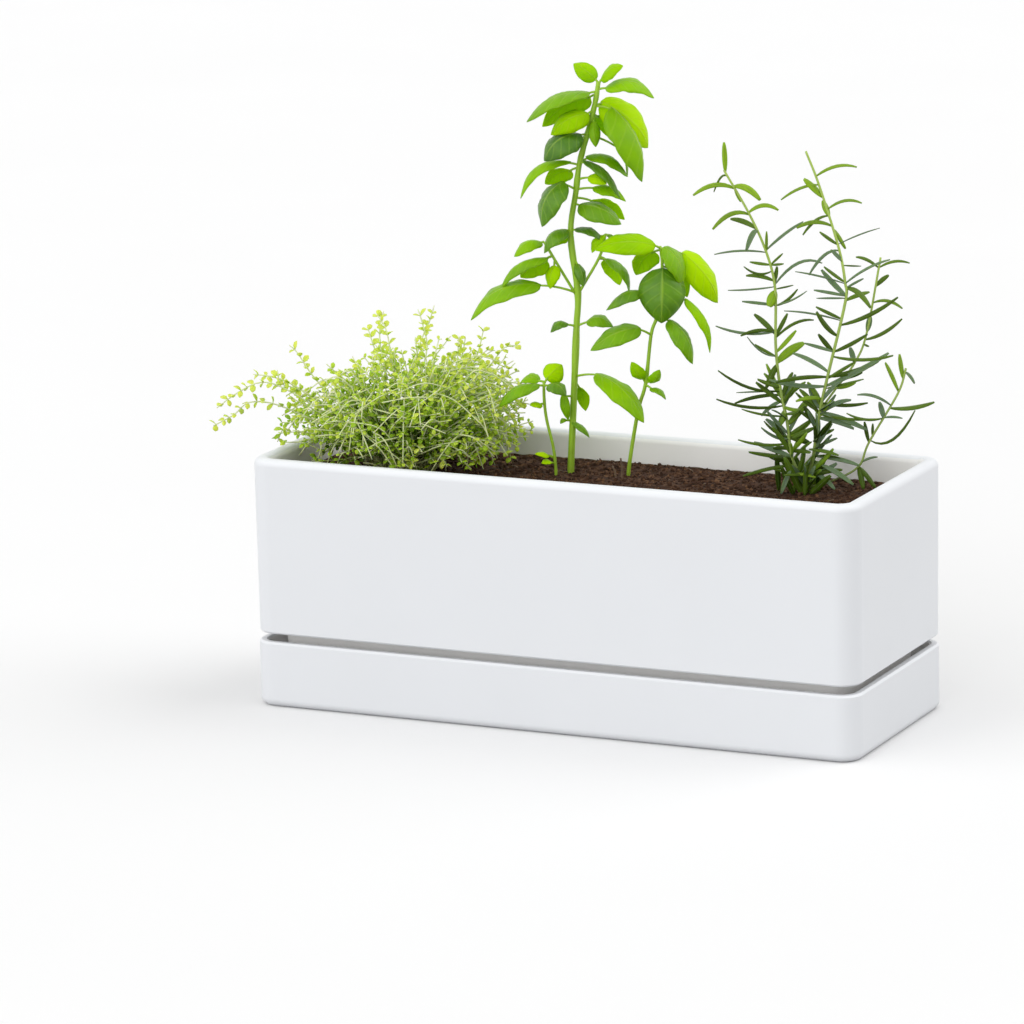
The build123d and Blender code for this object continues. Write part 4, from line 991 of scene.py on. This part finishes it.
# Sprigs that stand out of the mound, then bright ones low at the front
for points, shine in (
    ([(-4, 45, 0), (-7, 62, 2), (-7, 72, 2), (-5, 80, 2)], 0.1),
    ([(8, 45, 0), (12, 62, 0), (17, 73, 0), (20, 82, 0)], 0.1),
    ([(-4, 45, -4), (-10, 60, -4), (-13, 70, -4)], 0.1),
    ([(24, 36, 4), (30, 52, 4), (32, 67, 4)], 0.1),
    ([(30, 36, -6), (40, 54, -8), (44, 68, -8)], 0.1),
    ([(34, 34, 0), (46, 50, 0), (54, 60, 0), (61, 61, 0)], 0.1),
    ([(-34, 24, 8), (-58, 36, 12), (-72, 38, 14), (-80, 32, 15), (-90, 27, 16)], -0.1),
    ([(-34, 30, 8), (-54, 44, 12), (-66, 48, 14), (-78, 43, 15), (-88, 36, 16)], 0.0),
    ([(-34, 34, 6), (-52, 46, 8), (-62, 50, 9), (-70, 51, 9)], 0.0),
    ([(0, 45, 4), (-2, 60, 6), (-4, 72, 6), (-8, 79, 6)], 0.1),
    ([(12, 45, 4), (16, 62, 4), (14, 74, 4), (12, 81, 4)], 0.1),
    ([(28, 40, 2), (33, 56, 2), (35, 66, 2)], 0.1),
    ([(-30, 28, 4), (-46, 42, 8), (-56, 46, 9), (-58, 53, 9)], 0.0),
    ([(-30, 34, 0), (-42, 50, 2), (-48, 60, 2), (-52, 64, 2)], 0.0),
    ([(-36, 24, 0), (-50, 26, -6), (-57, 19, -10), (-60, 12, -14)], -0.1),
    ([(36, 24, 8), (50, 32, 8), (60, 34, 8), (66, 33, 8)], 0.1),
    ([(34, 16, 10), (48, 24, 10), (58, 26, 10), (63, 27, 10)], 0.2),
    ([(36, 12, 6), (48, 18, 6), (56, 20, 6), (62, 19, 6)], 0.2),
    ([(4, 14, 20), (10, 18, 30), (13, 16, 36)], 0.5),
    ([(2, 8, 22), (7, 11, 32), (9, 9, 38)], 0.5),
    ([(14, 8, 16), (22, 11, 28), (25, 8, 34)], 0.5),
    ([(18, 10, 14), (27, 14, 24), (31, 12, 30)], 0.4),
    ([(20, 8, 8), (34, 11, 16), (43, 7, 20)], 0.2),
):
    path = [seen(thyme_foot, p) for p in points]
    add_thyme_stem(thyme_leaves[0], thyme_stems, path, 0.2, 3.8, (2.8, 4.5), shine, rng)
thyme_leaves[0].piece("thyme_leaves", thyme_leaf_green, "thyme_foliage", "thyme")
thyme_leaves[1].piece("thyme_inner_leaves", thyme_leaf_green, "thyme_foliage")
thyme_stems.piece("thyme_stems", thyme_stem_pale, "thyme_foliage")

# Floor, light and camera. Places are in metres, the lens in millimetres
FLOOR_HALF = 9.0
FLOOR_BOUNCE = (0.42, 0.42, 0.42)
WORLD_LIGHT = 0.66
CAMERA_PLACE = (1.11682, -2.46200, 0.71172)
CAMERA_LENS = 199.04

floor_mesh = bpy.data.meshes.new("floor")
floor_mesh.from_pydata([(-FLOOR_HALF, -FLOOR_HALF, 0), (FLOOR_HALF, -FLOOR_HALF, 0),
                        (FLOOR_HALF, FLOOR_HALF, 0), (-FLOOR_HALF, FLOOR_HALF, 0)], [], [(0, 1, 2, 3)])
floor = new_object("floor", floor_mesh)

floor_white, tree, principled = new_material("floor_white")
pale = ramp_node(tree, noise_node(tree, 3, 2, places_of(tree)), (0.3, (0.905,) * 3), (0.7, (0.915,) * 3))
tree.links.new(mix_node(tree, seen_directly(tree), FLOOR_BOUNCE, pale), principled.inputs["Base Color"])
principled.inputs["Roughness"].default_value = 0.85
principled.inputs["Specular IOR Level"].default_value = 0.1
floor_mesh.materials.append(floor_white)


def soft_sun(name, source, strength):
    """Very wide sun from this direction, even over the whole floor."""
    lamp = bpy.data.lights.new(name, "SUN")
    lamp.angle = math.radians(60)
    lamp.energy = strength
    new_object(name, lamp).rotation_euler = Vector(source).to_track_quat("Z", "Y").to_euler()


soft_sun("key", (-0.6, -0.45, 0.66), 0.6)
soft_sun("fill", (-0.1, -0.95, 0.22), 1.1)
soft_sun("back", (0.65, 0.4, 0.65), 1.05)

world = bpy.data.worlds.new("studio")
bpy.context.scene.world = world
world.use_nodes = True
background = world.node_tree.nodes["Background"]
background.inputs["Color"].default_value = (1, 1, 1, 1)
strength = math_node(world.node_tree, "MULTIPLY", seen_directly(world.node_tree), 1 - WORLD_LIGHT)
strength = math_node(world.node_tree, "ADD", strength, WORLD_LIGHT)
world.node_tree.links.new(strength, background.inputs["Strength"])

YAW, PITCH, ROLL = (math.radians(angle) for angle in (25.26, 12.78, -1.23))
back = Vector((math.sin(YAW) * math.cos(PITCH), -math.cos(YAW) * math.cos(PITCH), math.sin(PITCH)))
level_right = Vector((math.cos(YAW), math.sin(YAW), 0))
level_up = back.cross(level_right)
camera_right = level_right * math.cos(ROLL) + level_up * math.sin(ROLL)
camera_up = level_up * math.cos(ROLL) - level_right * math.sin(ROLL)
camera_data = bpy.data.cameras.new("camera")
camera_data.sensor_width = 36
camera_data.lens = CAMERA_LENS
camera_data.clip_end = 50
camera = new_object("camera", camera_data)
turned = Matrix((camera_right, camera_up, back)).transposed()
camera.matrix_world = Matrix.Translation(CAMERA_PLACE) @ turned.to_4x4()
bpy.context.scene.camera = camera
bpy.context.scene.view_settings.view_transform = "Standard"
